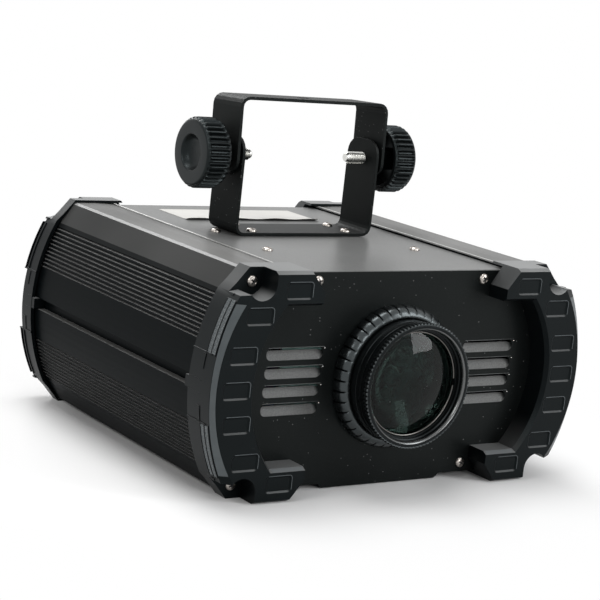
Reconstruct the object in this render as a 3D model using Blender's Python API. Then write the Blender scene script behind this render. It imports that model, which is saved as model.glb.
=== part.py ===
"""Water wave effect light: a metal cased projector on a double bracket, standing on its corner guards.

Case coordinates, used by every piece below: the origin is the middle of the front panel's
outer face, +X to the right as seen from the front, +Y to the rear, +Z up.
One empty, case_datum, puts them into the world, where the light stands on Z = 0.
"""
import math

import bmesh
import bpy
from mathutils import Matrix, Vector

# Driving sizes of the case, in metres
GUARD_HEIGHT = 0.165
CASE_HALF_WIDTH = 0.166
CASE_LENGTH = 0.265
SHEET = 0.0015
FIT = 0.0003
PAST = 0.002
GUARD_REACH_FRONT = 0.0205
GUARD_REACH_REAR = 0.012
FLANGE_FRONT = 0.012
FLANGE_REAR = 0.0075
LENS_REACH = 0.0325

# Corner guards; heights run down from the guard's top, widths in from its widest point
GUARD_RADIUS = 0.141
GUARD_WIDTH = 0.0337
FACE_INSET = 0.006
FACE_BEVEL = 0.002
MOUTH_BEVEL = 0.0021
ARM_LENGTH = 0.0727
ARM_SLOPE = 0.0106
ARM_DEPTH = 0.0245
ARM_BEND = 0.0152
MOUTH_RADIUS = 0.090
CORNER_IN = 0.0314
CHAMFER_IN = 0.0216
CHAMFER_DROP = 0.0113
SHOULDER_DROP = 0.0165
SCALLOP_RADIUS = 0.011
SCALLOP_DROP = 0.009
SCALLOP_OUT = 0.002
SCALLOP_END_IN = 0.013
SCALLOP_END_DROP = 0.0008
SCALLOP_FALL = 0.0015
FLANGE_SKIN = 0.0029
SHADOW_GAP = 0.0013
ROOF_GAP = 0.0005
FLOOR_THICK = 0.002
POCKET_WEB = 0.00205
POCKET_HIGH = 0.0122
POCKET_ROUND = 0.0026
POCKET_DEPTH = 0.001
POCKET_LAST_DROP = 0.0310
POCKET_STEPS = (0.4718, 1.0)
POCKET_ARM_DROP = 0.0116
GUARD_SKIN = 0.003
TAB_HALF = 0.0041
TAB_REACH = 0.0045
TAB_ROOT = 0.008
TAB_SHY = 0.0002

# Side extrusions
EXTRUSION_WALL = 0.0024
LEDGE_REACH = 0.009
ROOF_DROP = 0.0022
PLATE_DROP = 0.0024
PLATE_MARGIN = 0.0055
FACET_DROP = 0.0185
GROOVE_HALF = 0.0045
GROOVE_DEPTH = 0.006
RIB_PITCH = 0.003
RIB_COUNT = 11
RIB_DEPTH = 0.0018
RIB_MARGIN = 0.0017
BOSS_IN = 0.0026
BOSS_DROP = 0.010
BOSS_HALF = 0.008
BOSS_SLOPE = 0.005
BOSS_FOOT = 0.0015
INSIDE_STEP = 0.004
CORNER_CHAMFER = 0.0016
LIP_DROP = 0.001
LIP_RUN = 0.017
RIB_SHARES = (0.5, 0.45, 0.05)

# Front panel
PANEL_SKIRT = 0.0006
PANEL_TAB_DROP = 0.0006
PANEL_TAB_HALF = 0.052
PANEL_TAB_SLOPE = 0.0035
PANEL_SIDE_IN = 0.026
PANEL_SIDE_DROP = 0.0325
PANEL_SHOULDER_IN = 0.048
PANEL_SHOULDER_DROP = 0.0205
PANEL_CORNER = 0.006
PANEL_SCREW_IN = 0.0075
PANEL_SCREW_DROP = 0.0066
LOUVRE_MARGIN = 0.0109
LOUVRE_END_IN = 0.054
LOUVRE_HIGH = 0.0085
LOUVRE_PITCH = 0.0134
LOUVRE_MID_Z = -0.0008
LOUVRE_ROWS = 4
LOUVRE_DEPTH = 0.0048
LOUVRE_SLIT = 0.0006

# Lens group, radii about the optical axis at X = 0, Z = 0
BARREL_RADIUS = 0.045
BARREL_WALL = 0.003
BARREL_BACK = 0.014
RIM_OVER = 0.0014
RIM_WIDTH = 0.0035
GRIP_WIDTH = 0.005
GLASS_IN = 0.0061
GLASS_FACE = 0.0098
GLASS_EDGE = 0.0034
GLASS_CROWN = 0.0035
MOUNT_WALL = 0.002
MOUNT_FLANGE_OVER = 0.0100
MOUNT_FLANGE = 0.003
COLLAR_OVER = 0.0084
COLLAR_REACH = 0.012
COLLAR_LIP = 0.0025
COLLAR_CLEARANCE = 0.0009
COLLAR_RIBS = 40
COLLAR_NOTCH = 0.0022
COLLAR_NOSE = ((0.0, 0.0055, 1.0), (0.0018, 0.0092, 1.0), (0.0044, 0.0114, 0.33))
RIM_LIP = 0.0022
RIM_ROLL = 0.0008
GRIP_DROP = 0.0007
SEAT_LIP = 0.0028
SEAT_STEP = 0.002
THROAT_STEP = 0.0012

# Brackets and clamping hardware
PIVOT_Y = 0.1505
PIVOT_RISE = 0.0606
STRIP_WIDTH = 0.040
STRAP = 0.0025
BEND_RADIUS = 0.008
LOWER_HALF = 0.064
LOWER_TOP = 0.0155
LOWER_ROUND = 0.013
WASHER_GAP = 0.0025
WASHER_RADIUS = 0.0157
WASHER_TEETH = 24
WASHER_NOTCH = 0.001
UPPER_RISE = 0.045
UPPER_DROP = 0.012
UPPER_ROUND = 0.009
UPPER_TILT = math.radians(-2.5)
STUD_RADIUS = 0.0047
STUD_TIP_X = 0.045
STUD_HOLE = 0.0052
KNOB_FACE_X = 0.098
KNOB_BACK_X = 0.077
KNOB_RADIUS = 0.027
KNOB_FACE_RADIUS = 0.0235
KNOB_BACK_RADIUS = 0.0248
KNOB_SKIRT = 0.0215
KNOB_BOSS = 0.009
KNOB_DISH = 0.0136
KNOB_RIBS = 36
KNOB_NOTCH = 0.0016
KNOB_WEB = 0.007
KNOB_DISH_DEPTH = 0.0025
KNOB_EDGE = 0.003
KNOB_CHAMFER = 0.00245
STUD_SHORT = 0.0015
STUD_POINT = 0.001
CLAMP_HOLE = 0.0055

# Screws: pan heads on M4 shanks
HEAD_RADIUS = 0.004
HEAD_HEIGHT = 0.0024
HEAD_CROWN = ((0.0, 1.0), (0.65, 0.92), (1.0, 0.35))
SHANK_RADIUS = 0.002
SHANK_HOLE = 0.0024
SCREW_LONG = 0.009
SCREW_SHORT = 0.0055
BASE_SCREW_X = 0.0445
BASE_SCREW_Y = 0.0125
PLATE_SCREW_X = 0.0685
PLATE_SCREW_FRONT = 0.0775
PLATE_SCREW_REAR = 0.1505

# Optical bench, wheels and lamp
BENCH_HALF = 0.062
BENCH_FRONT = 0.020
BENCH_REAR = 0.154
BENCH_SHEET = 0.002
WALL_Y = 0.0543
WALL_TOP_DROP = 0.0205
WALL_WINDOW = 0.023
DISC_THICK = 0.0016
HUB_RADIUS = 0.008
HUB_THICK = 0.006
HUB_FLOOR = 0.001
AXLE_SHY = 0.0015
AXLE_RADIUS = 0.0025
AXLE_CLEARANCE = 0.0001
MOTOR_RADIUS = 0.0125
MOTOR_LENGTH = 0.018
MOTOR_STEP = 0.0012
MOTOR_BOSS = 0.0075
RIPPLE_X = 0.038
RIPPLE_Z = 0.0
RIPPLE_RADIUS = 0.058
COLOUR_X = -0.036
COLOUR_Z = -0.012
COLOUR_RADIUS = 0.052
CONDENSER_RADIUS = 0.021
CONDENSER_EDGE = 0.0034
CONDENSER_CROWN = 0.0045
LAMP_GAP = 0.0045
LAMP_TUBE = 0.025
LAMP_LENGTH = 0.022
LAMP_FLANGE = 0.030
LAMP_FLANGE_THICK = 0.006
EMITTER_RADIUS = 0.006
SINK_HALF = 0.040
SINK_ROOM = 0.0221
SINK_BASE = 0.0047
SINK_DEPTH = 0.034
SINK_FINS = 9
SINK_FIN = 0.0022

# Power board under the top plate
BOARD = 0.0016
POWER_MARGIN = 0.0065
POWER_DROP = 0.0103
POST_RADIUS = 0.0042
# Each block of the supply: X and Y from the board's middle, half sizes and height below it
POWER_BLOCKS = (
    (-0.035, -0.002, 0.016, 0.013, 0.015),
    (0.032, -0.014, 0.011, 0.009, 0.013),
    (0.0, -0.002, 0.0015, 0.028, 0.012),
)
CAPACITORS = ((0.035, 0.016), (0.052, 0.016))
CAPACITOR_RADIUS = 0.006
CAPACITOR_HIGH = 0.015

# Rear panel and what sits in it
FAN_GAP = 0.0174
FAN_SIDE = 0.080
FAN_DEPTH = 0.025
FAN_BORE = 0.0375
FAN_HUB = 0.017
FAN_BLADES = 7
FAN_TIP = 0.0362
FAN_SLOTS = 9
FAN_SLOT_WIDE = 0.004
FAN_SLOT_PITCH = 0.0075
FAN_SLOT_IN = 0.002
FAN_PLATE = 0.003
FAN_CORNER = 0.004
FAN_SPOKE_HALF = 0.002
FAN_PIN_IN = 0.008
FAN_ROTOR_IN = 0.002
FAN_TWIST = 11.0
INLET_IN = 0.118
INLET_RISE = 0.0325
INLET_FLANGE_X = 0.029
INLET_FLANGE_Z = 0.0155
INLET_BODY_X = 0.0255
INLET_BODY_Z = 0.0135
INLET_DEPTH = 0.026
INLET_FLANGE = 0.0025
INLET_CORNER = 0.002
INLET_SLOPE = 0.004
PIN_PITCH = 0.007
PIN_RISE = 0.002
PIN_HALF_X = 0.001
PIN_HALF_Z = 0.002
PIN_SHY = 0.004
SOCKET_OFFSET = -0.008
SOCKET_HALF_X = 0.0122
SOCKET_HALF_Z = 0.0083
SOCKET_DEEP = 0.016
DRAWER_OFFSET = 0.0165
DRAWER_HALF_X = 0.0042
DRAWER_HALF_Z = 0.0105
DRAWER_DEEP = 0.020
NOTCH_DROP = 0.002
NOTCH_HALF_X = 0.003
NOTCH_HALF_Z = 0.0008
NOTCH_DEEP = 0.001
TROUGH_WIDE = 0.0055
TROUGH_END = 0.004
TROUGH_FLOOR = 0.002
TROUGH_ROOF = 0.0045
DATA_IN = 0.074
DATA_PITCH = 0.034
DATA_FLANGE_X = 0.013
DATA_FLANGE_Z = 0.0155
DATA_BODY = 0.0117
DATA_FLANGE = 0.002
DATA_CORNER = 0.003
DATA_RING = 0.002
DATA_DEPTH = 0.020
DATA_BORE = 0.0092
DATA_CAVITY = 0.012
DATA_PIN = 0.0012
DATA_PIN_CIRCLE = 0.0045
DISPLAY_IN = 0.086
DISPLAY_DROP = 0.0385
DISPLAY_HALF_X = 0.020
DISPLAY_HALF_Z = 0.008
DISPLAY_PANE = 0.0028
BUTTON_RADIUS = 0.0032
BUTTON_FLANGE = 0.0046
BUTTON_FLANGE_THICK = 0.001
BUTTON_PROUD = 0.0025
BUTTON_TAIL = 0.006
BUTTON_TRAVEL = 0.0008
BUTTON_EDGE = 0.0006
BUTTON_STEM = 0.0015
SWITCH_HALF = 0.003
BUTTON_RUN = 0.036
BUTTON_PITCH = 0.014
BUTTON_NAMES = ("menu_button", "down_button", "up_button", "enter_button")
CONTROL_DROP = 0.0115
CONTROL_MARGIN = 0.006

# Derived places
PANEL_Y = LENS_REACH - (LENS_REACH + CASE_LENGTH + GUARD_REACH_REAR) / 2
MID_Z = GUARD_HEIGHT / 2
HALF = GUARD_HEIGHT / 2
SIDE_CENTRE_X = CASE_HALF_WIDTH - GUARD_RADIUS
EXTRUSION_RADIUS = GUARD_RADIUS - FLANGE_SKIN - SHADOW_GAP
CORNER_X = CASE_HALF_WIDTH - CORNER_IN
CHAMFER_X = CASE_HALF_WIDTH - CHAMFER_IN
CHAMFER_Z = HALF - CHAMFER_DROP
SHOULDER_Z = HALF - SHOULDER_DROP
ARM_TIP_X = CASE_HALF_WIDTH - ARM_LENGTH
ARM_INNER_X = ARM_TIP_X - ARM_SLOPE
ARM_BEND_Z = HALF - ARM_BEND
ARM_LOW_Z = HALF - ARM_DEPTH
MOUTH_CENTRE_X = CASE_HALF_WIDTH - GUARD_WIDTH - MOUTH_RADIUS
ROOM_IN_X = ARM_INNER_X - 6 * PAST
SCALLOP_Z = HALF - SCALLOP_DROP
ROOF_Z = HALF - ROOF_DROP
FACET_Z = HALF - FACET_DROP
RIB_LOW_Z = FACET_Z - RIB_MARGIN - RIB_COUNT * RIB_PITCH
BOSS_X = CORNER_X - BOSS_IN
BOSS_Z = HALF - BOSS_DROP
PLATE_TOP = ROOF_Z - PLATE_DROP
PLATE_HALF_WIDTH = ARM_TIP_X + PLATE_MARGIN
PANEL_SKIRT_Z = PLATE_TOP + PANEL_SKIRT
PANEL_TAB_Z = HALF - PANEL_TAB_DROP
PANEL_HALF_WIDTH = CASE_HALF_WIDTH - PANEL_SIDE_IN
PANEL_SIDE_Z = HALF - PANEL_SIDE_DROP
PANEL_SHOULDER_X = CASE_HALF_WIDTH - PANEL_SHOULDER_IN
PANEL_SHOULDER_Z = HALF - PANEL_SHOULDER_DROP
PANEL_TOP_X = PANEL_SHOULDER_X - PANEL_CORNER
PANEL_SCREW_X = ARM_INNER_X - PANEL_SCREW_IN
PANEL_SCREW_Z = PLATE_TOP - PANEL_SCREW_DROP
POCKET_END_Z = HALF - POCKET_LAST_DROP
POCKET_LONG = GUARD_WIDTH - FACE_INSET - MOUTH_BEVEL - 2 * POCKET_WEB
COLLAR_RADIUS = BARREL_RADIUS + COLLAR_OVER
RIM_RADIUS = BARREL_RADIUS + RIM_OVER
GLASS_RADIUS = BARREL_RADIUS - GLASS_IN
LOUVRE_IN = COLLAR_RADIUS + LOUVRE_MARGIN
LOUVRE_OUT = CASE_HALF_WIDTH - LOUVRE_END_IN
SHEET_BACK = SHEET + FIT
REAR_INNER = CASE_LENGTH - SHEET
PLATE_UNDER = PLATE_TOP - SHEET
FLOOR_FRONT = SHEET_BACK - FIT - FLOOR_THICK
PIVOT_Z = PLATE_TOP + PIVOT_RISE
UPPER_HALF = LOWER_HALF + WASHER_GAP + STRAP
KNOB_WEB_X = KNOB_FACE_X - KNOB_WEB
STUD_END_X = KNOB_WEB_X - STUD_SHORT
MOUNT_BORE = BARREL_RADIUS + FIT
MOUNT_RADIUS = MOUNT_BORE + MOUNT_WALL
MOUNT_FLANGE_RADIUS = MOUNT_RADIUS + MOUNT_FLANGE_OVER
PANEL_BORE = MOUNT_RADIUS + FIT
BENCH_FLOOR = -(PLATE_UNDER - FIT)
BENCH_TOP = BENCH_FLOOR + BENCH_SHEET
WALL_TOP = HALF - WALL_TOP_DROP
WALL_BACK = WALL_Y + BENCH_SHEET
RIPPLE_FACE = WALL_Y - FIT - MOTOR_LENGTH
COLOUR_FACE = WALL_BACK + FIT + MOTOR_LENGTH
RIPPLE_DISC = RIPPLE_FACE - FIT - HUB_THICK
COLOUR_DISC = COLOUR_FACE + FIT + HUB_THICK - DISC_THICK
LAMP_Y = COLOUR_DISC + DISC_THICK + LAMP_GAP + CONDENSER_CROWN
SINK_Y = LAMP_Y + LAMP_LENGTH + LAMP_FLANGE_THICK + FIT
POWER_Y = (PLATE_SCREW_FRONT + PLATE_SCREW_REAR) / 2
POWER_Z = PLATE_UNDER - POWER_DROP
SINK_TOP = POWER_Z - SINK_ROOM
INLET_X = INLET_IN - CASE_HALF_WIDTH
INLET_Z = INLET_RISE - HALF
DATA_IN_X = DATA_IN - CASE_HALF_WIDTH
DATA_OUT_X = DATA_IN_X + DATA_PITCH
DISPLAY_X = DISPLAY_IN - CASE_HALF_WIDTH
DISPLAY_Z = HALF - DISPLAY_DROP
BUTTON_FIRST_X = DISPLAY_X + BUTTON_RUN
BUTTON_LAST_X = BUTTON_FIRST_X + (len(BUTTON_NAMES) - 1) * BUTTON_PITCH
CONTROL_END_X = BUTTON_LAST_X + BUTTON_FLANGE + CONTROL_MARGIN
FAN_X = CONTROL_END_X + FAN_GAP + FAN_SIDE / 2
FAN_BACK = REAR_INNER - FIT
FAN_FRONT = FAN_BACK - FAN_DEPTH
OUTSIDE = CASE_LENGTH + FIT
CONTROL_Y = REAR_INNER - CONTROL_DROP

# How finely round shapes are faceted
ROUND = 32
SMALL_ROUND = 16
PIN_ROUND = 8

for old in list(bpy.data.objects):
    bpy.data.objects.remove(old)

datum = bpy.data.objects.new("case_datum", None)
datum.location = (0.0, PANEL_Y, MID_Z)
bpy.context.scene.collection.objects.link(datum)


# Small tools for materials, outlines and solids

def finish(name, colour, roughness, metallic=0.0):
    """A Principled material of one colour."""
    material = bpy.data.materials.new(name)
    material.use_nodes = True
    shader = material.node_tree.nodes["Principled BSDF"]
    shader.inputs["Base Color"].default_value = (*colour, 1.0)
    shader.inputs["Roughness"].default_value = roughness
    shader.inputs["Metallic"].default_value = metallic
    material.diffuse_color = (*colour, 1.0)
    return material


def arc(centre, radius, start, end, steps):
    """Points on an arc from start to end, in degrees, both ends included."""
    points = []
    for index in range(steps + 1):
        angle = math.radians(start + (end - start) * index / steps)
        points.append((centre[0] + radius * math.cos(angle), centre[1] + radius * math.sin(angle)))
    return points


def flipped(points):
    """The same outline mirrored in its second coordinate and run backwards."""
    return [(a, -b) for a, b in reversed(points)]


def box_outline(centre, half_a, half_b):
    low_a, high_a = centre[0] - half_a, centre[0] + half_a
    low_b, high_b = centre[1] - half_b, centre[1] + half_b
    return [(low_a, low_b), (high_a, low_b), (high_a, high_b), (low_a, high_b)]


def rounded_outline(centre, half_a, half_b, radius, steps):
    corners = ((1, 1, 0), (-1, 1, 90), (-1, -1, 180), (1, -1, 270))
    points = []
    for sign_a, sign_b, start in corners:
        middle = (centre[0] + sign_a * (half_a - radius), centre[1] + sign_b * (half_b - radius))
        points += arc(middle, radius, start, start + 90, steps)
    return points


def plane(axis):
    """Where the two coordinates across an axis and the one along it stand in a point."""
    along = "xyz".index(axis)
    first, second = [index for index in range(len("xyz")) if index != along]
    return first, second, along


def loft(mesh, rings):
    """A closed solid through rings of equal count, capped at both ends."""
    loops = [[mesh.verts.new(point) for point in ring] for ring in rings]
    count = len(loops[0])
    for low, high in zip(loops, loops[1:]):
        for index in range(count):
            following = (index + 1) % count
            mesh.faces.new((low[index], low[following], high[following], high[index]))
    mesh.faces.new(list(reversed(loops[0])))
    mesh.faces.new(loops[-1])


def prism(mesh, outline, axis, low, high):
    """An outline extruded along one axis between two levels."""
    first, second, along = plane(axis)
    rings = []
    for level in (low, high):
        ring = []
        for a, b in outline:
            point = [0.0, 0.0, 0.0]
            point[first] = a
            point[second] = b
            point[along] = level
            ring.append(tuple(point))
        rings.append(ring)
    loft(mesh, rings)


def turned(mesh, profile, steps, axis="y", centre=(0.0, 0.0)):
    """A closed profile of (radius, place[, notch]) turned about an axis.

    A notch takes its depth off the radius at every second step, which makes ribs.
    """
    first, second, along = plane(axis)
    rings = []
    for entry in profile:
        radius, place = entry[0], entry[1]
        notch = entry[2] if len(entry) > 2 else 0.0
        count = 1 if radius == 0.0 else steps
        ring = []
        for index in range(count):
            angle = 2 * math.pi * index / steps
            reach = radius - notch * (index % 2)
            point = [0.0, 0.0, 0.0]
            point[first] = centre[0] + reach * math.cos(angle)
            point[second] = centre[1] + reach * math.sin(angle)
            point[along] = place
            ring.append(mesh.verts.new(point))
        rings.append(ring)
    for index, ring in enumerate(rings):
        following = rings[(index + 1) % len(rings)]
        if len(ring) == 1 and len(following) == 1:
            continue
        for step in range(steps):
            after = (step + 1) % steps
            corners = [ring[step % len(ring)], ring[after % len(ring)]]
            corners += [following[after % len(following)], following[step % len(following)]]
            unique = list(dict.fromkeys(corners))
            mesh.faces.new(unique)


def rod(mesh, radius, axis, centre, low, high, steps=PIN_ROUND):
    prism(mesh, arc(centre, radius, 0, 360 * (steps - 1) / steps, steps - 1), axis, low, high)


def build_mesh(name, shape):
    """Runs one drawing function on an empty mesh and closes it."""
    mesh = bmesh.new()
    shape(mesh)
    bmesh.ops.recalc_face_normals(mesh, faces=mesh.faces)
    data = bpy.data.meshes.new(name)
    mesh.to_mesh(data)
    mesh.free()
    return data


def piece(name, shape, material, origin=(0.0, 0.0, 0.0), smooth=None, turn=(0.0, 0.0, 0.0)):
    """One node, drawn in case coordinates and given its origin on its joint's axis."""
    data = build_mesh(name, shape)
    data.transform(Matrix.Translation(-Vector(origin)))
    data.materials.append(material)
    if smooth:
        data.shade_smooth()
        data.set_sharp_from_angle(angle=math.radians(smooth))
    node = bpy.data.objects.new(name, data)
    node.location = origin
    node.rotation_euler = turn
    node.parent = datum
    bpy.context.scene.collection.objects.link(node)
    return node


def tool(node, name, shape, operation):
    """A hidden shape that is cut from a node or added to it."""
    helper = bpy.data.objects.new(name, build_mesh(name, shape))
    helper.parent = datum
    helper.hide_render = True
    helper.display_type = "WIRE"
    bpy.context.scene.collection.objects.link(helper)
    change = node.modifiers.new(name, "BOOLEAN")
    change.operation = operation
    change.solver = "EXACT"
    change.object = helper
    return helper


def cut(node, name, shape):
    return tool(node, node.name + "_" + name, shape, "DIFFERENCE")


def add(node, name, shape):
    return tool(node, node.name + "_" + name, shape, "UNION")


# Finishes
POWDER = finish("black_powder_coat", (0.020, 0.020, 0.021), 0.48, 0.3)
GUARD_BLACK = finish("guard_black", (0.026, 0.028, 0.031), 0.45)
ANODISED = finish("black_anodised", (0.022, 0.023, 0.026), 0.38, 0.8)
KNOB_BLACK = finish("knob_black", (0.018, 0.018, 0.019), 0.5)
BARREL_BLACK = finish("barrel_black", (0.012, 0.012, 0.013), 0.35, 0.6)
ZINC = finish("zinc", (0.62, 0.62, 0.60), 0.32, 1.0)
NICKEL = finish("nickel", (0.72, 0.68, 0.62), 0.25, 1.0)
GLASS = finish("coated_glass", (0.55, 0.72, 0.66), 0.05)
RIPPLE_GLASS = finish("ripple_glass", (0.75, 0.82, 0.84), 0.1)
COLOUR_GLASS = finish("colour_glass", (0.25, 0.45, 0.75), 0.1)
ALUMINIUM = finish("plain_aluminium", (0.68, 0.69, 0.70), 0.4, 1.0)
STEEL = finish("zinc_plated_sheet", (0.55, 0.56, 0.57), 0.42, 1.0)
CIRCUIT = finish("circuit_board", (0.03, 0.16, 0.07), 0.5)
INSERT_BLACK = finish("moulded_black", (0.024, 0.024, 0.026), 0.42)
BUTTON_GREY = finish("button_grey", (0.16, 0.16, 0.17), 0.5)
PANE = finish("display_pane", (0.05, 0.02, 0.02), 0.08)


# Side profile shared by the extrusions, the guards and the panels

def side_x(z, radius):
    """Where a circle about the side profile's centre stands at a height."""
    return SIDE_CENTRE_X + math.sqrt(radius * radius - z * z)


def side_curve(radius, top_z, bottom_z, steps):
    """Points of the side circle from a height down to another."""
    points = []
    for index in range(steps + 1):
        z = top_z + (bottom_z - top_z) * index / steps
        points.append((side_x(z, radius), z))
    return points


def ribbed_side():
    """The upper half of the extrusion's outer side, from the facet to the middle."""
    points = [(side_x(FACET_Z, EXTRUSION_RADIUS), FACET_Z)]
    for index in reversed(range(RIB_COUNT)):
        low = RIB_LOW_Z + index * RIB_PITCH
        crest, shoulder, foot = [low + share * RIB_PITCH for share in RIB_SHARES]
        points.append((side_x(crest, EXTRUSION_RADIUS), crest))
        points.append((side_x(shoulder, EXTRUSION_RADIUS - RIB_DEPTH), shoulder))
        points.append((side_x(foot, EXTRUSION_RADIUS - RIB_DEPTH), foot))
        points.append((side_x(low, EXTRUSION_RADIUS), low))
    points += side_curve(EXTRUSION_RADIUS, RIB_LOW_Z - RIB_PITCH, GROOVE_HALF, 4)
    points.append((side_x(GROOVE_HALF, EXTRUSION_RADIUS - GROOVE_DEPTH), GROOVE_HALF))
    return points


def extrusion_outline():
    """Right hand extrusion: roof, facet, ribbed side, with ledges that carry the plates."""
    lip_x = PLATE_HALF_WIDTH + 2 * FIT
    ledge_x = PLATE_HALF_WIDTH - LEDGE_REACH
    ledge_z = PLATE_UNDER - FIT
    inner = EXTRUSION_RADIUS - RIB_DEPTH - EXTRUSION_WALL
    behind_groove = EXTRUSION_RADIUS - GROOVE_DEPTH - EXTRUSION_WALL
    groove_wall_z = GROOVE_HALF + EXTRUSION_WALL
    under_ledge = ledge_z - EXTRUSION_WALL
    under_roof = ROOF_Z - EXTRUSION_WALL
    outer = [(ledge_x, ledge_z), (lip_x, ledge_z), (lip_x, ROOF_Z - LIP_DROP), (lip_x + LIP_RUN, ROOF_Z)]
    slope = math.atan2(ROOF_Z - FACET_Z, side_x(FACET_Z, EXTRUSION_RADIUS) - CORNER_X)
    outer.append((CORNER_X - CORNER_CHAMFER, ROOF_Z))
    outer.append((CORNER_X + CORNER_CHAMFER * math.cos(slope), ROOF_Z - CORNER_CHAMFER * math.sin(slope)))
    outer += ribbed_side()
    web_x = lip_x + EXTRUSION_WALL
    inside = [(ledge_x, under_ledge), (web_x, under_ledge), (web_x, under_roof)]
    inside += [(BOSS_X - BOSS_HALF, under_roof), (BOSS_X - BOSS_SLOPE, BOSS_Z - BOSS_SLOPE)]
    boss_foot = FACET_Z - BOSS_FOOT
    inside += [(side_x(boss_foot, inner), boss_foot)]
    inside += side_curve(inner, boss_foot - INSIDE_STEP, groove_wall_z, 5)
    inside.append((side_x(groove_wall_z, behind_groove), groove_wall_z))
    upper = list(reversed(inside)) + outer
    return upper + flipped(upper)


def extrusion_shape(mesh):
    prism(mesh, extrusion_outline(), "y", SHEET_BACK, REAR_INNER - FIT)


def boss_holes(mesh):
    reach = SCREW_LONG
    for z in (BOSS_Z, -BOSS_Z):
        rod(mesh, SHANK_HOLE, "y", (BOSS_X, z), SHEET_BACK - PAST, SHEET_BACK + reach)
        rod(mesh, SHANK_HOLE, "y", (BOSS_X, z), REAR_INNER - reach, REAR_INNER + PAST)


def mirrored(shape):
    """The same shape on the other side of the case."""
    def drawn(mesh):
        shape(mesh)
        bmesh.ops.scale(mesh, vec=(-1.0, 1.0, 1.0), verts=mesh.verts)
    return drawn


def plain(shape):
    return shape


SIDES = (("left", mirrored), ("right", plain))

for side, hand in SIDES:
    wall = piece(side + "_side_extrusion", hand(extrusion_shape), ANODISED)
    cut(wall, "screw_ports", hand(boss_holes))


# Corner guards

def mouth_x(z, radius):
    """Where a circle about the mouth's centre stands at a height."""
    return MOUTH_CENTRE_X + math.sqrt(radius * radius - z * z)


def mouth_edge(bevel):
    """The guard's inner edge, from the upper arm to the middle of its mouth, cut back by a bevel."""
    arm_low = ARM_LOW_Z + bevel
    radius = MOUTH_RADIUS + bevel
    start = math.degrees(math.asin(arm_low / radius))
    mouth = arc((MOUTH_CENTRE_X, 0.0), radius, start, 0, 5)
    return [(ARM_INNER_X, ARM_BEND_Z), (ARM_INNER_X, arm_low)] + mouth


def guard_ring(inset, y):
    """The guard's outline, its outer edges drawn in by an inset at the face, its inner ones bevelled."""
    drop = FACE_BEVEL if inset else 0.0
    outer = [(ARM_TIP_X, HALF - drop), (CORNER_X - drop / 2, HALF - drop)]
    outer.append((CHAMFER_X - drop, CHAMFER_Z - drop / 2))
    outer += side_curve(GUARD_RADIUS - inset, SHOULDER_Z, 0.0, 6)
    inner = mouth_edge(MOUTH_BEVEL if inset else 0.0)
    lower = [(a, -b) for a, b in inner]
    outline = outer + flipped(outer)[1:] + lower + list(reversed(inner))[1:]
    return [(a, y, b) for a, b in outline]


def guard_body(reach, flange):
    def drawn(mesh):
        face = guard_ring(FACE_INSET, -reach)
        bevel = guard_ring(0.0, -reach + FACE_BEVEL)
        loft(mesh, [face, bevel, guard_ring(0.0, flange)])
    return drawn


def scallop_outline():
    """The corner cut: a round seat for the screw, open to the corner."""
    middle = BOSS_X + SCALLOP_OUT
    above = HALF + SCALLOP_RADIUS
    points = arc((middle, SCALLOP_Z), SCALLOP_RADIUS, 180, 322, 6)
    points.append((CASE_HALF_WIDTH - SCALLOP_END_IN, SHOULDER_Z - SCALLOP_END_DROP))
    points.append((CASE_HALF_WIDTH, SHOULDER_Z - SCALLOP_FALL))
    return points + [(CASE_HALF_WIDTH, above), (middle - SCALLOP_RADIUS, above)]


def pocket_places():
    """Middle of each face pocket: five down the middle of the guard's C, and one on each arm."""
    heights = [0.0]
    for share in POCKET_STEPS:
        heights += [share * POCKET_END_Z, -share * POCKET_END_Z]
    places = []
    for z in heights:
        face_edge = side_x(z, GUARD_RADIUS - FACE_INSET)
        places.append(((mouth_x(z, MOUTH_RADIUS + MOUTH_BEVEL) + face_edge) / 2, z))
    arm_z = HALF - FACE_BEVEL - POCKET_ARM_DROP
    arm_x = ARM_TIP_X + POCKET_LONG / 2
    return places + [(arm_x, arm_z), (arm_x, -arm_z)]


def guard_scallops(reach):
    def drawn(mesh):
        prism(mesh, scallop_outline(), "y", -reach - PAST, FLOOR_FRONT)
        prism(mesh, flipped(scallop_outline()), "y", -reach - PAST, FLOOR_FRONT)
    return drawn


def guard_pockets(reach):
    def drawn(mesh):
        for place in pocket_places():
            outline = rounded_outline(place, POCKET_LONG / 2, POCKET_HIGH / 2, POCKET_ROUND, 1)
            prism(mesh, outline, "y", -reach - PAST, -reach + POCKET_DEPTH)
    return drawn


def guard_screw_holes(mesh):
    for z in (BOSS_Z, -BOSS_Z):
        rod(mesh, SHANK_HOLE, "y", (BOSS_X, z), FLOOR_FRONT - FLOOR_THICK, FLOOR_FRONT + 2 * FLOOR_THICK)


def guard_back_panel(flange):
    """Room behind the guard for the panel that it laps over."""
    def drawn(mesh):
        roof = ROOF_Z + ROOF_GAP
        shoulder = PANEL_SHOULDER_X + FIT
        upper = [(ROOM_IN_X, roof), (shoulder, roof), (shoulder, PANEL_SHOULDER_Z)]
        upper.append((PANEL_HALF_WIDTH + FIT, PANEL_SIDE_Z))
        prism(mesh, upper + flipped(upper), "y", -FIT, flange + PAST)
    return drawn


def guard_back_extrusion(flange):
    """Room behind the guard for the extrusion, which leaves the flange round it."""
    def drawn(mesh):
        roof = ROOF_Z + ROOF_GAP
        upper = [(ROOM_IN_X, roof), (CORNER_X, roof)]
        upper += side_curve(EXTRUSION_RADIUS + SHADOW_GAP, FACET_Z + ROOF_GAP, 0.0, 6)
        prism(mesh, upper + flipped(upper)[1:], "y", FLOOR_FRONT + FLOOR_THICK, flange + 2 * PAST)
    return drawn


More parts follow.
